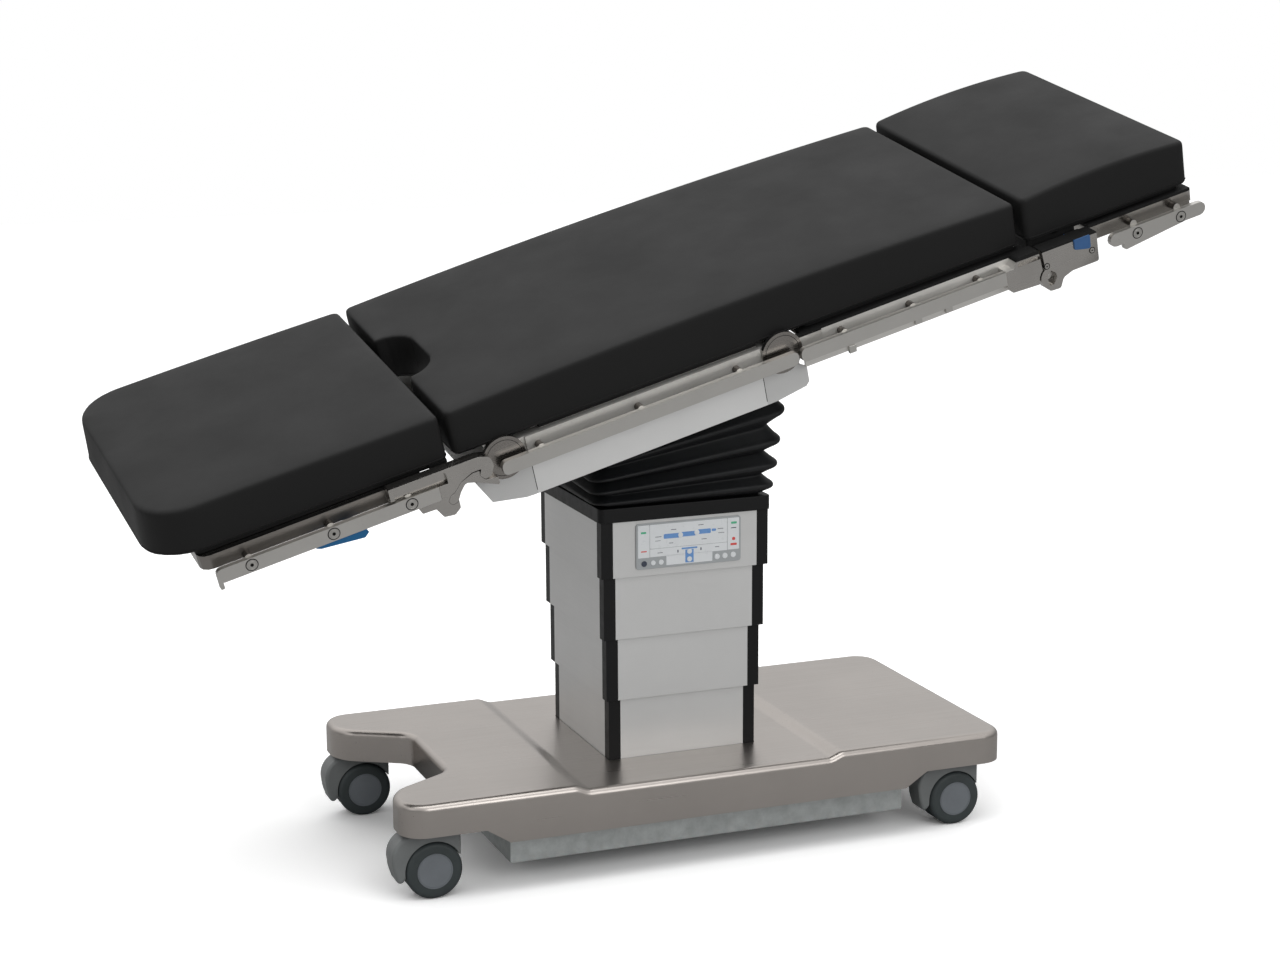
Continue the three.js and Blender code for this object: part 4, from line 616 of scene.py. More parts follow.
def round_uprights(obj, near, offset, segments):
    """Rounds the upright edges whose place in plan passes the test."""
    round_edges(obj, lambda a, b: abs(a.x - b.x) + abs(a.y - b.y) < 2e-4 and near(a), offset,
                segments)


round_uprights(cover, lambda c: abs(c.y) > HALF_WIDTH - 0.0055, 0.045, 8)
round_uprights(cover, lambda c: c.x < FOOT_END + 0.005 and 0.15 < abs(c.y) < 0.22, 0.036, 7)
round_uprights(cover, lambda c: abs(c.x - NOTCH_IN) < 0.005, 0.022, 5)
round_edges(cover, lambda a, b: min(a.z, b.z) > TOP_Z - 1e-4, 0.012, 5)
print("cover in plan:", len(cover.data.polygons), "faces")

# %% Rows across both ramps
RAMPS = ((-0.232, -1), (0.233, 1))
ROWS, ROW_STEP, ROW_START = 13, 0.003, -0.006
SKIRT_STEPS = (-0.415, -0.373, 0.381, 0.423)
for edge, out in RAMPS:
    for k in range(ROWS):
        slice_across(cover, (edge + out * (ROW_STEP * k + ROW_START), 0, 0), (1, 0, 0))
for edge in SKIRT_STEPS:
    slice_across(cover, (edge, 0, 0), (1, 0, 0))
print("rows across the cover:", ROWS * len(RAMPS) + len(SKIRT_STEPS))

# %% Lowered middle and drawn skirt
RAMP_FOOT, RAMP_HEAD, RAMP_LONG, LOWERED = -0.226, 0.227, 0.030, 0.009
SKIRT_LOW_Z, SHEET = 0.094, 0.003


def smooth_step(t):
    t = min(max(t, 0.0), 1.0)
    return t * t * (3 - 2 * t)


for v in cover.data.vertices:
    raised = max(smooth_step((RAMP_FOOT - v.co.x) / RAMP_LONG),
                 smooth_step((v.co.x - RAMP_HEAD) / RAMP_LONG))
    if v.co.z > SKIRT_Z + 0.01:
        v.co.z -= LOWERED * (1 - raised)
    elif -0.374 < v.co.x < 0.382:
        v.co.z = SKIRT_LOW_Z
pick(cover, "FACE", lambda c, n: n.z < -0.6)
bpy.ops.mesh.delete(type="FACE")
shut()

# %% Well for the column, and the sheet's thickness
WELL_X, WELL_Y = 0.142, 0.1453
cut_away(cover, brick("column_well", (-WELL_X, -WELL_Y, 0.13), (WELL_X, WELL_Y, 0.2)))
pick(cover, "FACE", lambda c, n: abs(c.x) < 0.143 and abs(c.y) < 0.146 and c.z < 0.16)
bpy.ops.mesh.delete(type="FACE")
shut()
modify(cover, "SOLIDIFY", thickness=SHEET, offset=-1)
shade_round(cover, 38)
settle(cover, "base", BASE_STEEL)
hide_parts("base_cover")
print("cover:", len(cover.data.polygons), "faces")

# %% Chassis and power unit
dress("base_chassis", GALVANISED, width=0.0016)
carry("power_unit", BLACK)
print("base dressed")

# %% [markdown]
# ## Column
# Four square stages of satin sheet stand in each other, each with black strips round its
# corners. The topmost carries a black collar that the bellows sit on. The ram inside stays as
# CAD made it.

# %% Column
for n in range(1, 5):
    dress(f"column_panels_{n}", PANEL_STEEL, width=0.0006)
    dress(f"column_corners_{n}", BLACK, width=0.0006)
dress("top_collar", BLACK, width=0.003, segments=3)
carry("lift_cylinder", RAM_CHROME)
carry("lift_rod", RAM_CHROME)
carry("head_bracket", GALVANISED)
carry("gimbal_cross", TOP_STEEL)
print("column dressed")

# %% [markdown]
# ## Frames, couplings and rails of the top
# Everything here is cut from plate and flat bar, so the edges get a small round only. The rails are
# a lighter steel than the frames. The side plates of the seat and back frames take a lighter copy of
# the frame steel, and the leg frame's side plates a darker one: painted reflection. One real part
# can show two finishes, as a rail does with its dull studs: the faces are told apart by their place
# in the top's axes.

# %% Frames and rails
PLATE_SIDE_V, STUD_END_V = 0.286, 0.2852
LEG_PLATE_U, LEG_PLATE_V = -0.585, 0.25


def repaint(piece, material, chosen):
    """A second finish for faces that are chosen by place and facing, in the top's axes."""
    piece.data.materials.append(material)
    last = len(piece.data.materials) - 1
    for face in piece.data.polygons:
        if chosen(TO_FLAT @ face.center, TO_UPRIGHT @ face.normal):
            face.material_index = last


# The seat and back frames' side plates, set back behind the rails, get the lighter copy of the
# steel: painted reflection.
frames = {}
for node in ("seat_frame", "back_frame", "head_frame", "leg_frame", "leg_joint_shaft"):
    paint = PLATE_STEEL_PAINTED_REFLECTION if node in ("seat_frame", "back_frame") else TOP_STEEL
    frames[node] = dress(node, paint, width=0.0006)
for node in ("seat_frame", "back_frame"):
    repaint(frames[node], TOP_STEEL, lambda c, n: abs(c.y) > PLATE_SIDE_V)
# The leg frame's side plates get the darker copy of the steel: painted dark reflection.
repaint(frames["leg_frame"], LEG_PLATE,
        lambda c, n: c.x < LEG_PLATE_U and abs(c.y) > LEG_PLATE_V)
for part in ("seat", "back", "head", "leg"):
    for side, sign in SIDES:
        rail = dress(f"{part}_rail_{side}", RAIL_STEEL, width=0.0012, segments=3)
        repaint(rail, STUD_STEEL, lambda c, n: abs(c.y) < STUD_END_V)
carry("back_joint_shaft", TOP_STEEL)
print("frames:", len(frames), "rails: 8")

# %% Housing and boards
housing = dress("housing_cover", HOUSING, width=0.0025, segments=3)
for part in ("back", "head", "leg"):
    dress(f"{part}_board", BOARD, width=0.0012)
print("boards: 3")

# %% [markdown]
# ## Dark fillers and steel skirts
# Under the foot end of the head pad a dark box, and in the gap between the leg board and the seat a
# dark lip, fill what would show white between pad and frame, so each is one block with well rounded
# edges. The box stands partly for a dark bracket there and partly is painted shade under the pad;
# the lip is painted shade in the gap. The head plate's long edges are folded down, and a thin strip
# on each side stands for that fold.

# %% Fillers and skirts
# Both blocks take the boards' dark finish: the head box is partly a dark bracket and partly painted
# shade, the lip is painted shade.
FILLERS = [
    ("head_box_and_shade", "head", (0.6525, -0.2560, 0.118), (0.7520, 0.2560, 0.1496), 0.004),
    ("leg_gap_shade_lip", "leg", (-0.5000, -0.2600, 0.142), (-0.4665, 0.2600, 0.1500), 0.002),
]
SKIRT_U, SKIRT_V, SKIRT_W = (0.7720, 0.9860), (0.2640, 0.2698), (0.1095, 0.1170)
for name, body, low, high, edge in FILLERS:
    filler = brick(name, low, high)
    soften(filler, edge, 3)
    on_top(filler)
    settle(filler, body, BOARD)
for side, sign in SIDES:
    inner, outer = sorted(sign * v for v in SKIRT_V)
    skirt = brick(f"head_frame_skirt_{side}", (SKIRT_U[0], inner, SKIRT_W[0]),
                  (SKIRT_U[1], outer, SKIRT_W[1]))
    soften(skirt, 0.0008, 2)
    on_top(skirt)
    settle(skirt, "head", TOP_STEEL)
print("fillers and skirts: 4")

# %% [markdown]
# ## Lever and latches
# Both are moulded in blue. The latch buttons have a black upper side, like the boards above them.
# Each frame is cut at the height of the boards, and its upper faces there take the boards' dark
# finish.

# %% Lever and latches
BOARD_LEVELS = {"seat_frame": 0.1412, "head_frame": 0.1355, "back_frame": 0.1362}
dress("release_lever", LEVER, width=0.0012, segments=3)
for side, sign in SIDES:
    latch = dress(f"latch_button_{side}", LATCH, width=0.0014, segments=3)
    repaint(latch, BOARD, lambda c, n: n.z > 0.8)
# The frames' faces above the boards' height, under the pads, take the boards' dark finish.
for node, level in BOARD_LEVELS.items():
    slice_across(frames[node], TOP @ Vector((0, 0, level)), TURN @ Vector((0, 0, 1)))
    repaint(frames[node], BOARD, lambda c, n: c.z > level + 0.0002)
print("top dressed")

# %% [markdown]
# ## Joint discs
# The two joints of the top end in turned discs with a thin double rim. A disc is a cylinder
# whose face is inset twice: the first inset is pressed in as a groove, the second one raised
# again. It is modelled once and copied to both sides of both joints.

# %% Turned parts
def turned_disc(name, radius, depth, steps, corners=72, soft=(0.0002, 2)):
    """A disc that faces -Y, whose face is inset and then moved out, pair by pair."""
    quiet()
    bpy.ops.mesh.primitive_cylinder_add(vertices=corners, radius=radius, depth=depth)
    obj = named(name)
    obj.rotation_euler.x = math.pi / 2
    place_in_mesh()
    pick(obj, "FACE", lambda c, n: n.y < -0.9)
    for inset, travel in steps:
        bpy.ops.mesh.inset(thickness=inset)
        if travel:
            bpy.ops.mesh.extrude_region_move(TRANSFORM_OT_translate={"value": (0, -travel, 0)})
    shut()
    if soft:
        soften(obj, *soft, 35)
    return obj


def round_line(name, radius, thickness, corners):
    """A thin ring that stands for the shaded groove round a turned face."""
    quiet()
    bpy.ops.mesh.primitive_torus_add(major_radius=radius, minor_radius=thickness,
                                     major_segments=corners, minor_segments=6,
                                     rotation=(math.pi / 2, 0, 0))
    place_in_mesh()
    bpy.ops.object.shade_smooth()
    return named(name)


def planted(obj, name, place, flip=False):
    """A copy at its place, turned round for the other side."""
    piece = twin(obj, name)
    take(piece)
    turn = Matrix.Rotation(math.pi if flip else 0, 4, "Z")
    piece.matrix_world = Matrix.Translation(place) @ turn
    place_in_mesh()
    return piece


def drop(masters):
    for master in masters:
        bpy.data.objects.remove(master)


# %% Joint discs
DISC_V, LINE_V = 0.2747, 0.2751
RIM = [(0.0012, 0), (0.0006, -0.0004), (0.0016, 0), (0.0006, 0.0004), (0.012, 0.0002)]
disc = turned_disc("disc_master", 0.0382, 0.0012, RIM)
line = round_line("disc_shade_line", 0.0318, 0.0006, 72)
# The thin ring round each disc is painted shade, for the groove round its face.
for joint, u in JOINT_U.items():
    for side, sign in SIDES:
        for master, part, v, paint in ((disc, "disc", DISC_V, DISC_STEEL),
                                       (line, "line", LINE_V, SHADOW)):
            name = f"{joint}_joint_{part}_{side}"
            piece = on_top(planted(master, name, (u, sign * v, JOINT_W), sign > 0))
            settle(piece, joint, paint)
drop((disc, line))
print("joint discs: 4")

# %% [markdown]
# ## Side panels of the housing
# The long sides of the housing are one lighter panel between two end caps. Two cuts across the cover
# part its sides there, and the middle faces take the lighter finish. A thin strip in painted shade
# stands for the shaded gap of each joint line.

# %% Housing panels
ENDS = {"foot": -0.325, "head": 0.1135}
PANEL_V, STRIP_V, STRIP_W, STRIP_HALF = 0.2485, (0.2494, 0.2503), (0.028, 0.087), 0.0006
for u in ENDS.values():
    slice_across(housing, TOP @ Vector((u, 0, 0)), TURN @ Vector((1, 0, 0)))
repaint(housing, PANEL_LIGHT,
        lambda c, n: abs(c.y) > PANEL_V and ENDS["foot"] < c.x < ENDS["head"])
for end, u in ENDS.items():
    for side, sign in SIDES:
        inner, outer = sorted(sign * v for v in STRIP_V)
        strip = brick(f"housing_joint_{side}_{end}", (u - STRIP_HALF, inner, STRIP_W[0]),
                      (u + STRIP_HALF, outer, STRIP_W[1]))
        soften(strip, 0.00025, 2)
        on_top(strip)
        settle(strip, "seat", SHADOW)
print("housing panels: 2")

# %% [markdown]
# ## Rail screws
# Each stand-off stud is held from outside by a countersunk socket screw. The head is a disc with a
# thin ring round it and a six-sided socket: the inner face is inset, then pressed in. The ring and
# the socket are painted shade, for the gap round the head and the hollow of the socket.
# Two smaller screws of the same kind hold the couplings.

# %% One screw
def socket_screw(name, radius):
    """Head, six-sided socket and dark ring of one screw, at the origin and facing -Y."""
    head = turned_disc(name, radius, 0.0008, ((radius * 0.12, 0), (radius * 0.09, -0.0004),
                                              (radius * 0.1, 0.0004)), 36, (0.00012, 1))
    ring = round_line(name + "_joint", radius + 0.0008, 0.0007, 48)
    well = turned_disc(name + "_socket", radius * 0.34, 0.0006, ((radius * 0.07, -0.0003),), 6, None)
    return head, well, ring


# %% Screws in place
SCREWS = [
    ("large_screw", 0.0092, 0.2960, [("leg", -0.826, 0.1125), ("leg", -0.686, 0.1125),
                                     ("leg", -0.550, 0.1125), ("head", 0.855, 0.1055),
                                     ("head", 0.948, 0.1055)]),
    ("small_screw", 0.0046, 0.2957, [("head", 0.7585, 0.1055), ("back", 0.664, 0.107)]),
]
# The socket and the ring round the head are painted shade, for the hollow and the gap.
SCREW_PARTS = (("screw", 0, SCREW_STEEL, "frame_steel"), ("socket", 0.0006, SHADOW, "black_plastic"),
               ("joint", 0, SHADOW, "black_plastic"))
count = 0
for kind, radius, v, spots in SCREWS:
    masters = socket_screw(kind, radius)
    for body, u, w in spots:
        count += 1
        for side, sign in SIDES:
            for master, (part, proud, paint, slot) in zip(masters, SCREW_PARTS):
                place = (u, sign * (v + proud), w)
                piece = planted(master, f"{body}_{part}_{side}_{count}", place, sign > 0)
                settle(on_top(piece), body, paint)
    drop(masters)
print("screws:", 2 * count)

# %% [markdown]
# ## Castor wheels
# A castor wheel is a rubber ring on a plastic spool. Both are turned parts, so their profiles
# are spun round the axle. The tyre's profile is a rectangle with rounded corners. The hub is a
# disc whose face is inset and pressed in a little, which leaves the rim line of the photo.

# %% Tyre and hub
def spun_ring(name, inner, outer, low, high, soft, segments=4):
    """A ring round the Y axis whose section lies between two radii and two places along Y."""
    quiet()
    middle = ((inner + outer) / 2, (low + high) / 2, 0)
    bpy.ops.mesh.primitive_plane_add(size=1, location=middle)
    obj = named(name)
    obj.scale = (outer - inner, high - low, 1)
    place_in_mesh()
    pick(obj, "VERT", lambda c: c.x > middle[0])
    bpy.ops.mesh.bevel(offset=soft, segments=segments, affect="VERTICES")
    bpy.ops.mesh.select_all(action="SELECT")
    bpy.ops.mesh.delete(type="ONLY_FACE")
    bpy.ops.mesh.select_all(action="SELECT")
    bpy.ops.mesh.spin(steps=72, angle=2 * math.pi, center=(0, 0, 0), axis=(0, 1, 0))
    bpy.ops.mesh.select_all(action="SELECT")
    bpy.ops.mesh.remove_doubles(threshold=0.00001)
    bpy.ops.mesh.normals_make_consistent(inside=False)
    shut()
    take(obj)
    bpy.ops.object.shade_smooth_by_angle(angle=math.radians(35))
    return obj


HUB_FACE = [(0.0008, 0), (0.0009, -0.0007), (0.0007, 0.0004), (0.0105, 0.0003), (0.010, 0.0002)]
tyre = spun_ring("tyre_master", 0.0316, 0.05, 0.0047, 0.0276, 0.0075, 6)
hub = turned_disc("hub_master", 0.0313, 0.004, HUB_FACE)
print("tyre", len(tyre.data.polygons), "faces, hub", len(hub.data.polygons), "faces")

# %% [markdown]
# The hood is moulded: a fender sweeps round the foot side of the wheels and ends in a rounded lobe,
# and a web between the wheels carries the axle. The fender starts as a side profile made wide, whose
# outer edges are rounded generously; the room for the wheels is cut out of it with a cylinder.

# %% Side profiles
def flat_solid(name, outline, half, soft=0, segments=1):
    """A side profile, given as points along X and Z, made as wide as twice the half width."""
    quiet()
    bpy.ops.mesh.primitive_circle_add(vertices=len(outline), radius=0.05, fill_type="NGON")
    obj = named(name)
    for v, (x, z) in zip(obj.data.vertices, outline):
        v.co = (x, -half, z)
    pick(obj, "FACE", lambda c, n: True)
    bpy.ops.mesh.extrude_region_move(TRANSFORM_OT_translate={"value": (0, 2 * half, 0)})
    bpy.ops.mesh.select_all(action="SELECT")
    bpy.ops.mesh.normals_make_consistent(inside=False)
    shut()
    if soft:
        round_edges(obj, lambda a, b: abs(a.y - b.y) < 1e-5, soft, segments)
    return obj


def arc(centre, radius, start, end, steps):
    """Points along an arc in degrees."""
    turns = [math.radians(start + (end - start) * k / steps) for k in range(steps + 1)]
    return [(centre[0] + radius * math.cos(t), centre[1] + radius * math.sin(t)) for t in turns]


# %% Hood
FENDER = [(0.049, 0.072), (0.049, 0.117), *arc((-0.033, 0.077), 0.0405, 82, 190, 14),
          (-0.0715, 0.058), (-0.0695, 0.050), (-0.067, 0.043),
          *arc((-0.0590, 0.0395), 0.0068, 200, 320, 5), (-0.045, 0.045), (0.0, 0.060)]
WEB = [(-0.052, 0.040), (-0.006, 0.031), (0.006, 0.031), (0.0475, 0.073), (0.0475, 0.114),
       (-0.040, 0.114), (-0.055, 0.09)]
WHEEL_ROOM, WHEEL_CENTRE_Z = 0.0515, 0.05
hood = flat_solid("hood_master", FENDER, 0.023, 0.006, 4)
quiet()
bpy.ops.mesh.primitive_cylinder_add(vertices=72, radius=WHEEL_ROOM, depth=0.2,
                                    location=(0, 0, WHEEL_CENTRE_Z),
                                    rotation=(math.pi / 2, 0, 0))
cut_away(hood, bpy.context.object)
web = flat_solid("hood_web", WEB, 0.0036)
quiet()
bpy.ops.mesh.primitive_cylinder_add(vertices=48, radius=0.0195, depth=0.006,
                                    location=(-0.018, 0, 0.1185))
neck = bpy.context.object
place_in_mesh()
take(hood, web, neck)
bpy.ops.object.join()
hood = bpy.context.object
shade_round(hood, 42)
print("hood:", len(hood.data.polygons), "faces")

# %% Wheels and hoods in place
HUB_CAP_Y = 0.0262
for corner in ("foot_near", "foot_far", "head_near", "head_far"):
    low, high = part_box("castor_hub_" + corner)
    axle = (low + high) / 2
    for side, flip in (("left", True), ("right", False)):
        ring = planted(tyre, f"tyre_{side}_{corner}_shown", axle, flip)
        settle(ring, "wheel_" + corner, TYRE)
        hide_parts(f"tyre_{side}_{corner}")
        away = Vector((0, HUB_CAP_Y if not flip else -HUB_CAP_Y, 0))
        cap = planted(hub, f"hub_cap_{side}_{corner}", axle + away, not flip)
        settle(cap, "wheel_" + corner, HUB)
    carry("castor_hub_" + corner, HUB)
    shell = planted(hood, f"castor_hood_{corner}_shown", Vector((axle.x, axle.y, 0)))
    settle(shell, "castor_" + corner, HOOD)
    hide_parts("castor_hood_" + corner)
drop((tyre, hub, hood))
print("castors: 4")

# %% [markdown]
# ## Bellows
# The cover between column and top is a square concertina of thick rubber. It is drawn as one upright
# tube: a square ring with rounded corners is extruded ring by ring, out to each crest and in to each
# valley. Then every point is turned by its share of the top's two tilts, which leans the tube over
# as the photo shows. It is made in two lengths that meet in a valley.

# %% Rings of the concertina
START_Z, END = 0.6323, TOP @ Vector((0, 0, 0.0207))
CRESTS = [(0.085, 0.174), (0.27, 0.180), (0.475, 0.184), (0.73, 0.190), (0.972, 0.195)]
VALLEYS = [(0.0, 0.153), (0.175, 0.157), (0.375, 0.160), (0.6, 0.164), (0.87, 0.169), (1.0, 0.172)]
VALLEY_REACH, CREST_REACH, CREST_ROUND, CREST_DROP = 0.006, 0.020, 0.034, 0.006
CORNER, SIDE_CUTS, RUBBER = 0.024, 9, 0.0028


def fold_rings(low, high):
    """(share of the height, half width) of each ring between two valleys, crests rounded."""
    rings = []
    for share, half in VALLEYS:
        if low - 0.001 <= share <= high + 0.001:
            rings += [(share - VALLEY_REACH, half), (share + VALLEY_REACH, half)]
    for share, half in CRESTS:
        if low < share < high:
            rings += [(share - CREST_ROUND, half - CREST_DROP), (share - CREST_REACH, half),
                      (share + CREST_REACH, half), (share + CREST_ROUND, half - CREST_DROP)]
    rings = sorted((min(max(s, low), high), h) for s, h in rings)
    return [r for k, r in enumerate(rings) if k == 0 or r[0] > rings[k - 1][0] + 1e-6]


# %% Concertina tube
def concertina(name, low, high):
    """An upright tube one unit high, whose square rings step out and in."""
    rings = fold_rings(low, high)
    share, half = rings[0]
    quiet()
    bpy.ops.mesh.primitive_plane_add(size=2 * half, location=(0, 0, share))
    obj = named(name)
    pick(obj, "VERT", lambda c: True)
    bpy.ops.mesh.bevel(offset=CORNER, segments=5, affect="VERTICES")
    bpy.ops.mesh.select_all(action="SELECT")
    bpy.ops.mesh.delete(type="ONLY_FACE")
    shut()
    pick(obj, "EDGE", lambda a, b: (a - b).length > 0.1)
    bpy.ops.mesh.subdivide(number_cuts=SIDE_CUTS)
    bpy.ops.mesh.select_all(action="SELECT")
    for after, wide in rings[1:]:
        bpy.ops.mesh.extrude_edges_move(TRANSFORM_OT_translate={"value": (0, 0, after - share)})
        bpy.ops.transform.resize(value=(wide / half, wide / half, 1), center_override=(0, 0, after))
        share, half = after, wide
    bpy.ops.mesh.select_all(action="SELECT")
    bpy.ops.mesh.normals_make_consistent(inside=False)
    shut()
    return obj


def leaning_axis(share):
    return Vector((0, 0, START_Z)).lerp(END, share)


def lean_over(obj):
    """Turns each point by its share of the two tilts and carries it along the leaning axis."""
    for v in obj.data.vertices:
        share = v.co.z + obj.location.z
        turn = Matrix.Rotation(-LEAN * share, 3, "Y") @ Matrix.Rotation(ROLL * share, 3, "X")
        v.co = leaning_axis(share) + turn @ Vector((v.co.x, v.co.y, 0))
    obj.location = (0, 0, 0)


# %% Both lengths of the bellows
SPLIT = 0.375
for name, low, high, pair in (("bellows_lower", 0.0, SPLIT, ("column_head", "gimbal")),
                              ("bellows_upper", SPLIT, 1.0, ("gimbal", "seat"))):
    tube = concertina(name, low, high)
    lean_over(tube)
    modify(tube, "SOLIDIFY", thickness=RUBBER, offset=-1)
    modify(tube, "SUBSURF", levels=2, render_levels=2)
    take(tube)
    bpy.ops.object.shade_smooth()
    settle(tube, None, BELLOWS)
    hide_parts("bellows")
    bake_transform(tube)
    print(name, len(tube.data.polygons), "faces")

# %% [markdown]
# ## Pads
# The pads are firm foam in a welded cover: crisp but rounded upper edges, a shallow crown
# along their length, and corners rounded in plan. Each starts as a box whose upright edges and
# upper edges are bevelled. It is remeshed evenly, crowned, and then blown up slightly as cloth,
# with its edges held, so that its faces swell between them as a tight cover does.

# %% Pad from a box
PAD_LOW, PAD_HIGH, PAD_HALF = 0.1502, 0.2292, 0.2648
LONG_PAD, LEG_PAD, HEAD_PAD = (-0.4535, 0.6315), (-0.967, -0.4645), (0.646, 0.990)
UPPER_ROUND = 0.0065


def foam_block(name, ends, foot_round, head_round):
    """A box between two ends along the top, with its corners and upper edges rounded."""
    foot, head = ends
    obj = brick(name, (foot, -PAD_HALF, PAD_LOW), (head, PAD_HALF, PAD_HIGH))
    round_uprights(obj, lambda c: abs(c.x - foot) < 0.002, foot_round, 12)
    round_uprights(obj, lambda c: abs(c.x - head) < 0.002, head_round, 6)
    round_edges(obj, lambda a, b: min(a.z, b.z) > PAD_HIGH - 1e-4, UPPER_ROUND, 3)
    return obj


# %% Crown and slant
def height_share(point):
    return (point.z - PAD_LOW) / (PAD_HIGH - PAD_LOW)


def crown(obj, ends, height):
    """Raises the top towards the middle of the pad's length."""
    middle, reach = (ends[0] + ends[1]) / 2, (ends[1] - ends[0]) / 2
    for v in obj.data.vertices:
        v.co.z += height * height_share(v.co) * (1 - ((v.co.x - middle) / reach) ** 2)


def lean_foot(obj, foot, reach, top_in=0.0085, bottom_out=0.0032):
    """Sets the foot face on a slant: its top further in and its bottom further out."""
    for v in obj.data.vertices:
        share = min(max((foot + reach - v.co.x) / reach, 0), 1)
        v.co.x += share * share * (top_in * height_share(v.co) - bottom_out)


# %% Swelling
CLOTH_FRAMES, PRESSURE = 20, 4


def points_of(obj):
    co = np.zeros(len(obj.data.vertices) * 3)
    obj.data.vertices.foreach_get("co", co)
    return co.reshape(-1, 3)


def swell(obj, cap):
    """Blows the cover up as cloth with its edges held, and limits how far a point moves."""
    rest = points_of(obj)
    edge = obj.vertex_groups.new(name="held")
    for v in obj.data.vertices:
        on_round = 0.25 < abs(v.normal.z) < 0.97
        if on_round or v.co.z < PAD_LOW + 0.006:
            edge.add([v.index], 1.0, "REPLACE")
    cloth = obj.modifiers.new("cover", "CLOTH")
    cloth.settings.vertex_group_mass = "held"
    cloth.settings.use_pressure = True
    cloth.settings.uniform_pressure_force = PRESSURE
    cloth.settings.effector_weights.gravity = 0
    cloth.point_cache.frame_start, cloth.point_cache.frame_end = 1, CLOTH_FRAMES
    for step in range(1, CLOTH_FRAMES + 1):
        scene.frame_set(step)
    take(obj)
    bpy.ops.object.modifier_apply(modifier="cover")
    moved = points_of(obj) - rest
    moved *= cap / (cap + np.linalg.norm(moved, axis=1, keepdims=True))
    obj.data.vertices.foreach_set("co", (rest + moved).ravel())
    obj.data.update()
    scene.frame_set(1)
    obj.vertex_groups.clear()
    most = 1000 * float(np.linalg.norm(moved, axis=1).max())
    print(obj.name, "swelled by up to", round(most, 1), "mm")


# %% Upholstery
def upholster(obj, ends, height, voxel, cap=0.003):
    """An even mesh, a crown and a swelling turn a block of foam into a covered pad."""
    take(obj)
    obj.data.remesh_voxel_size = voxel
    bpy.ops.object.voxel_remesh()
    crown(obj, ends, height)
    swell(obj, cap)
    modify(obj, "SMOOTH", factor=0.5, iterations=1)
    modify(obj, "SUBSURF", levels=1, render_levels=1)
    take(obj)
    bpy.ops.object.shade_smooth()
    print(obj.name, len(obj.data.polygons), "faces")


SEAM_W, SEAM_RADIUS = 0.1555, 0.0011


def seam(pad, name):
    """The line where a level plane cuts the cover, as a thin welded bead."""
    bead = twin(pad, name)
    slice_across(bead, (0, 0, SEAM_W), (0, 0, 1), clear_inner=True, clear_outer=True)
    take(bead)
    bpy.ops.object.convert(target="CURVE")
    bead.data.bevel_depth = SEAM_RADIUS
    bead.data.bevel_resolution = 1
    bpy.ops.object.convert(target="MESH")
    take(bead)
    bpy.ops.object.shade_smooth()
    return bead


# %% Seat and back pad
HOLLOW_U, HOLLOW_HALF, HOLLOW_ROUND = -0.3985, 0.089, 0.052
seat_pad = foam_block("long_pad", LONG_PAD, 0.012, 0.012)
hollow = brick("notch_cutter", (-0.52, -HOLLOW_HALF, 0.1), (HOLLOW_U, HOLLOW_HALF, 0.3))
round_uprights(hollow, lambda c: abs(c.x - HOLLOW_U) < 0.002, HOLLOW_ROUND, 12)
cut_away(seat_pad, hollow)
upholster(seat_pad, LONG_PAD, 0.0115, 0.006)
seat_seam = seam(seat_pad, "long_pad_seam")

# %% Leg and head pads
leg_pad = foam_block("leg_cushion", LEG_PAD, 0.086, 0.012)
upholster(leg_pad, LEG_PAD, 0.002, 0.0055)
lean_foot(leg_pad, LEG_PAD[0], 0.11)
leg_seam = seam(leg_pad, "leg_pad_seam")
head_pad = foam_block("head_cushion", HEAD_PAD, 0.012, 0.014)
upholster(head_pad, HEAD_PAD, 0.009, 0.005)
head_seam = seam(head_pad, "head_pad_seam")

# %% Pads on their bodies
for piece, stands_for, body in ((leg_pad, ["leg_pad"], "leg"), (head_pad, ["head_pad"], "head")):
    on_top(piece)
    settle(piece, body, PAD_COVER)
    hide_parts(*stands_for)
for piece, body in ((leg_seam, "leg"), (head_seam, "head")):
    on_top(piece)
    settle(piece, body, SEAM_TRIM)
on_top(seat_pad)
on_top(seat_seam)
settle(seat_pad, None, PAD_COVER)
settle(seat_seam, None, SEAM_TRIM)
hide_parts("seat_pad", "pad_bend", "back_pad")
for piece in (seat_pad, seat_seam):
    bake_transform(piece)
print("pads: 3")

# %% [markdown]
# ## Keypad
# The near face of the top stage carries a membrane keypad: a grey rim, white fields with thin dark
# gaps, a few coloured signs and round keys. The signs are plain bars here, with no words. Each is a
# thin brick with soft corners, in millimetres from the lower left corner of the rim, and the ones of
# one colour are joined.

# %% Keypad parts
MM = 0.001
rim_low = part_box("control_panel")[0]
FACE_Y, SUNK = rim_low.y, 0.0004


def tile(name, x0, x1, z0, z1, soft, proud=0.0005):
    """A thin field on the keypad, from and to in millimetres, with rounded corners."""
    low = (rim_low.x + x0 * MM, FACE_Y - proud, rim_low.z + z0 * MM)
    high = (rim_low.x + x1 * MM, FACE_Y + SUNK, rim_low.z + z1 * MM)
    obj = brick(name, low, high)
    pick(obj, "EDGE", lambda a, b: abs(a.x - b.x) < 1e-6 and abs(a.z - b.z) < 1e-6)
    bpy.ops.mesh.bevel(offset=soft * MM, segments=3, affect="EDGES")
    shut()
    return obj


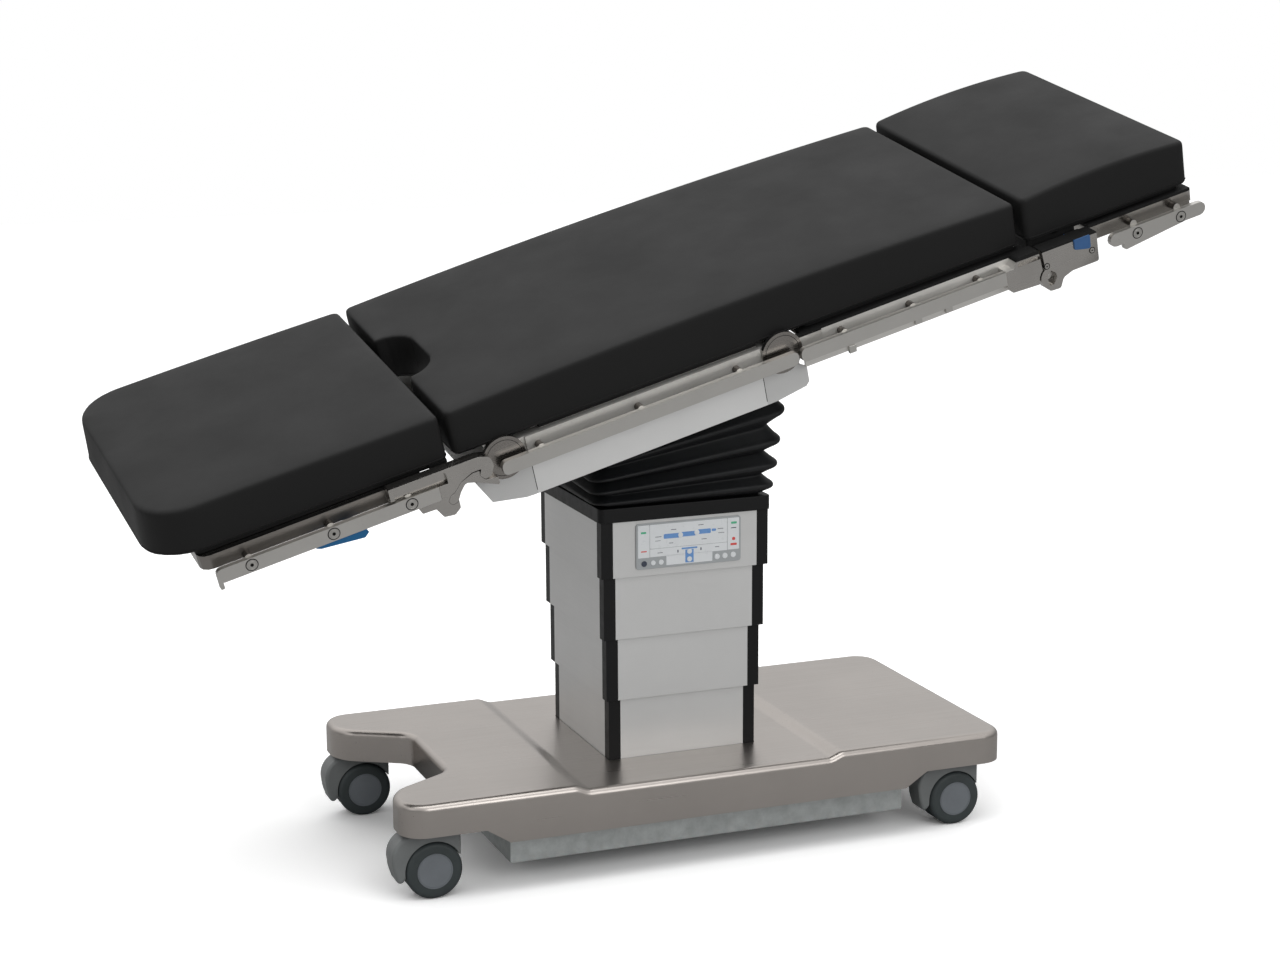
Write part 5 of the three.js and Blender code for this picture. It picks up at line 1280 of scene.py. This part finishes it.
def button(name, x, z, radius, proud):
    """A round key with a raised middle, placed in millimetres."""
    quiet()
    place = (rim_low.x + x * MM, FACE_Y - proud / 2, rim_low.z + z * MM)
    bpy.ops.mesh.primitive_cylinder_add(vertices=40, radius=radius * MM, depth=proud + SUNK,
                                        location=place, rotation=(math.pi / 2, 0, 0))
    place_in_mesh()
    obj = named(name)
    pick(obj, "FACE", lambda c, n: n.y < -0.9)
    bpy.ops.mesh.inset(thickness=radius * 0.22 * MM)
    bpy.ops.mesh.extrude_region_move(TRANSFORM_OT_translate={"value": (0, -0.00025, 0)})
    shut()
    return obj


def joined(name, parts, material):
    """Parts of one colour as one piece on the column head."""
    take(*parts)
    if len(parts) > 1:
        bpy.ops.object.join()
    obj = named(name)
    soften(obj, 0.00012, 1, 40)
    return settle(obj, "column_head", material)


# %% Fields and signs of the keypad
FIELDS = [(3.5, 25.3, 20.5, 79, 1.5), (26.1, 173.5, 36, 79, 1.5), (26.1, 173.5, 21, 35.3, 0.6),
          (57, 145, 4, 21.6, 0.6), (174.3, 196.5, 21.5, 79, 1.5)]
SIGNS = {
    "bars": ("blue", [(52, 82, 52, 60.5, 2), (86, 113, 53, 61.5, 1.2), (117, 142, 55, 63.5, 2),
                      (143.5, 152, 58, 62.5, 1.6), (93, 109, 5.5, 29, 0.8), (86, 116, 30, 33, 0.8)]),
    "green": ("green", [(9, 19, 64, 67.5, 1), (181, 192, 68, 72, 1.2)]),
    "red": ("red", [(9, 20, 31, 33, 0.6), (180, 192, 29, 33, 0.8), (183, 189, 38, 44, 2.5)]),
}
dress("control_panel", KEYPAD_RIM, width=0.0008)
joined("keypad_fields", [tile("field", *field, 0.0003) for field in FIELDS], KEYPAD_FIELD)
for name, (ink, signs) in SIGNS.items():
    joined("keypad_" + name, [tile("sign", *sign) for sign in signs], KEYPAD_INK[ink])

# %% Keys and marks
KEYS = [(32, 10.5, 4.4), (47, 10.5, 4.6), (154, 11, 5), (169, 11.5, 5), (185, 12, 5),
        (101, 25.5, 4.6), (101, 11.5, 4.6), (84, 56.5, 4.6), (115, 58.5, 4.8)]
DARK_KEY = (15, 10, 5.2)
MARKS = [(78, 80, 25, 30, 0.4), (122, 124, 25.5, 30.5, 0.4), (36, 48, 56, 57, 0.3),
         (36, 46, 49, 49.8, 0.3), (155, 166, 61, 62, 0.3), (156, 168, 53.5, 54.3, 0.3),
         (66, 76, 67, 68, 0.3), (118, 128, 71, 72, 0.3), (62, 70, 43, 44, 0.3),
         (124, 134, 45, 46, 0.3), (40, 50, 27, 28, 0.3), (150, 158, 28.5, 29.5, 0.3),
         (181, 191, 60, 61.5, 0.3)]
joined("keypad_keys", [button("key", *key, 0.0009) for key in KEYS], KEYPAD_FIELD)
joined("keypad_marks", [button("key", *DARK_KEY, 0.0007)] + [tile("mark", *mark) for mark in MARKS],
       KEYPAD_INK["dark"])
print("keypad: rim, fields, signs and", len(KEYS) + 1, "keys")

# %% [markdown]
# ## Small things under the back rail
# Short clips grip the lower edge of the back's side plates. Each is a small block with soft
# edges.

# %% Clips
CLIPS = [(0.473, 0.082), (0.411, 0.082), (0.278, 0.075)]
CLIP_V, CLIP_W, CLIP_HALF = (0.269, 0.2755), (-0.003, 0.011), 0.007
for count, (u, w) in enumerate(CLIPS, 1):
    for side, sign in SIDES:
        inner, outer = sorted(sign * v for v in CLIP_V)
        clip = brick(f"back_clip_{side}_{count}", (u - CLIP_HALF, inner, w + CLIP_W[0]),
                     (u + CLIP_HALF, outer, w + CLIP_W[1]))
        soften(clip, 0.0012, 3, 40)
        on_top(clip)
        settle(clip, "back", RAIL_STEEL)
print("clips:", 2 * len(CLIPS))
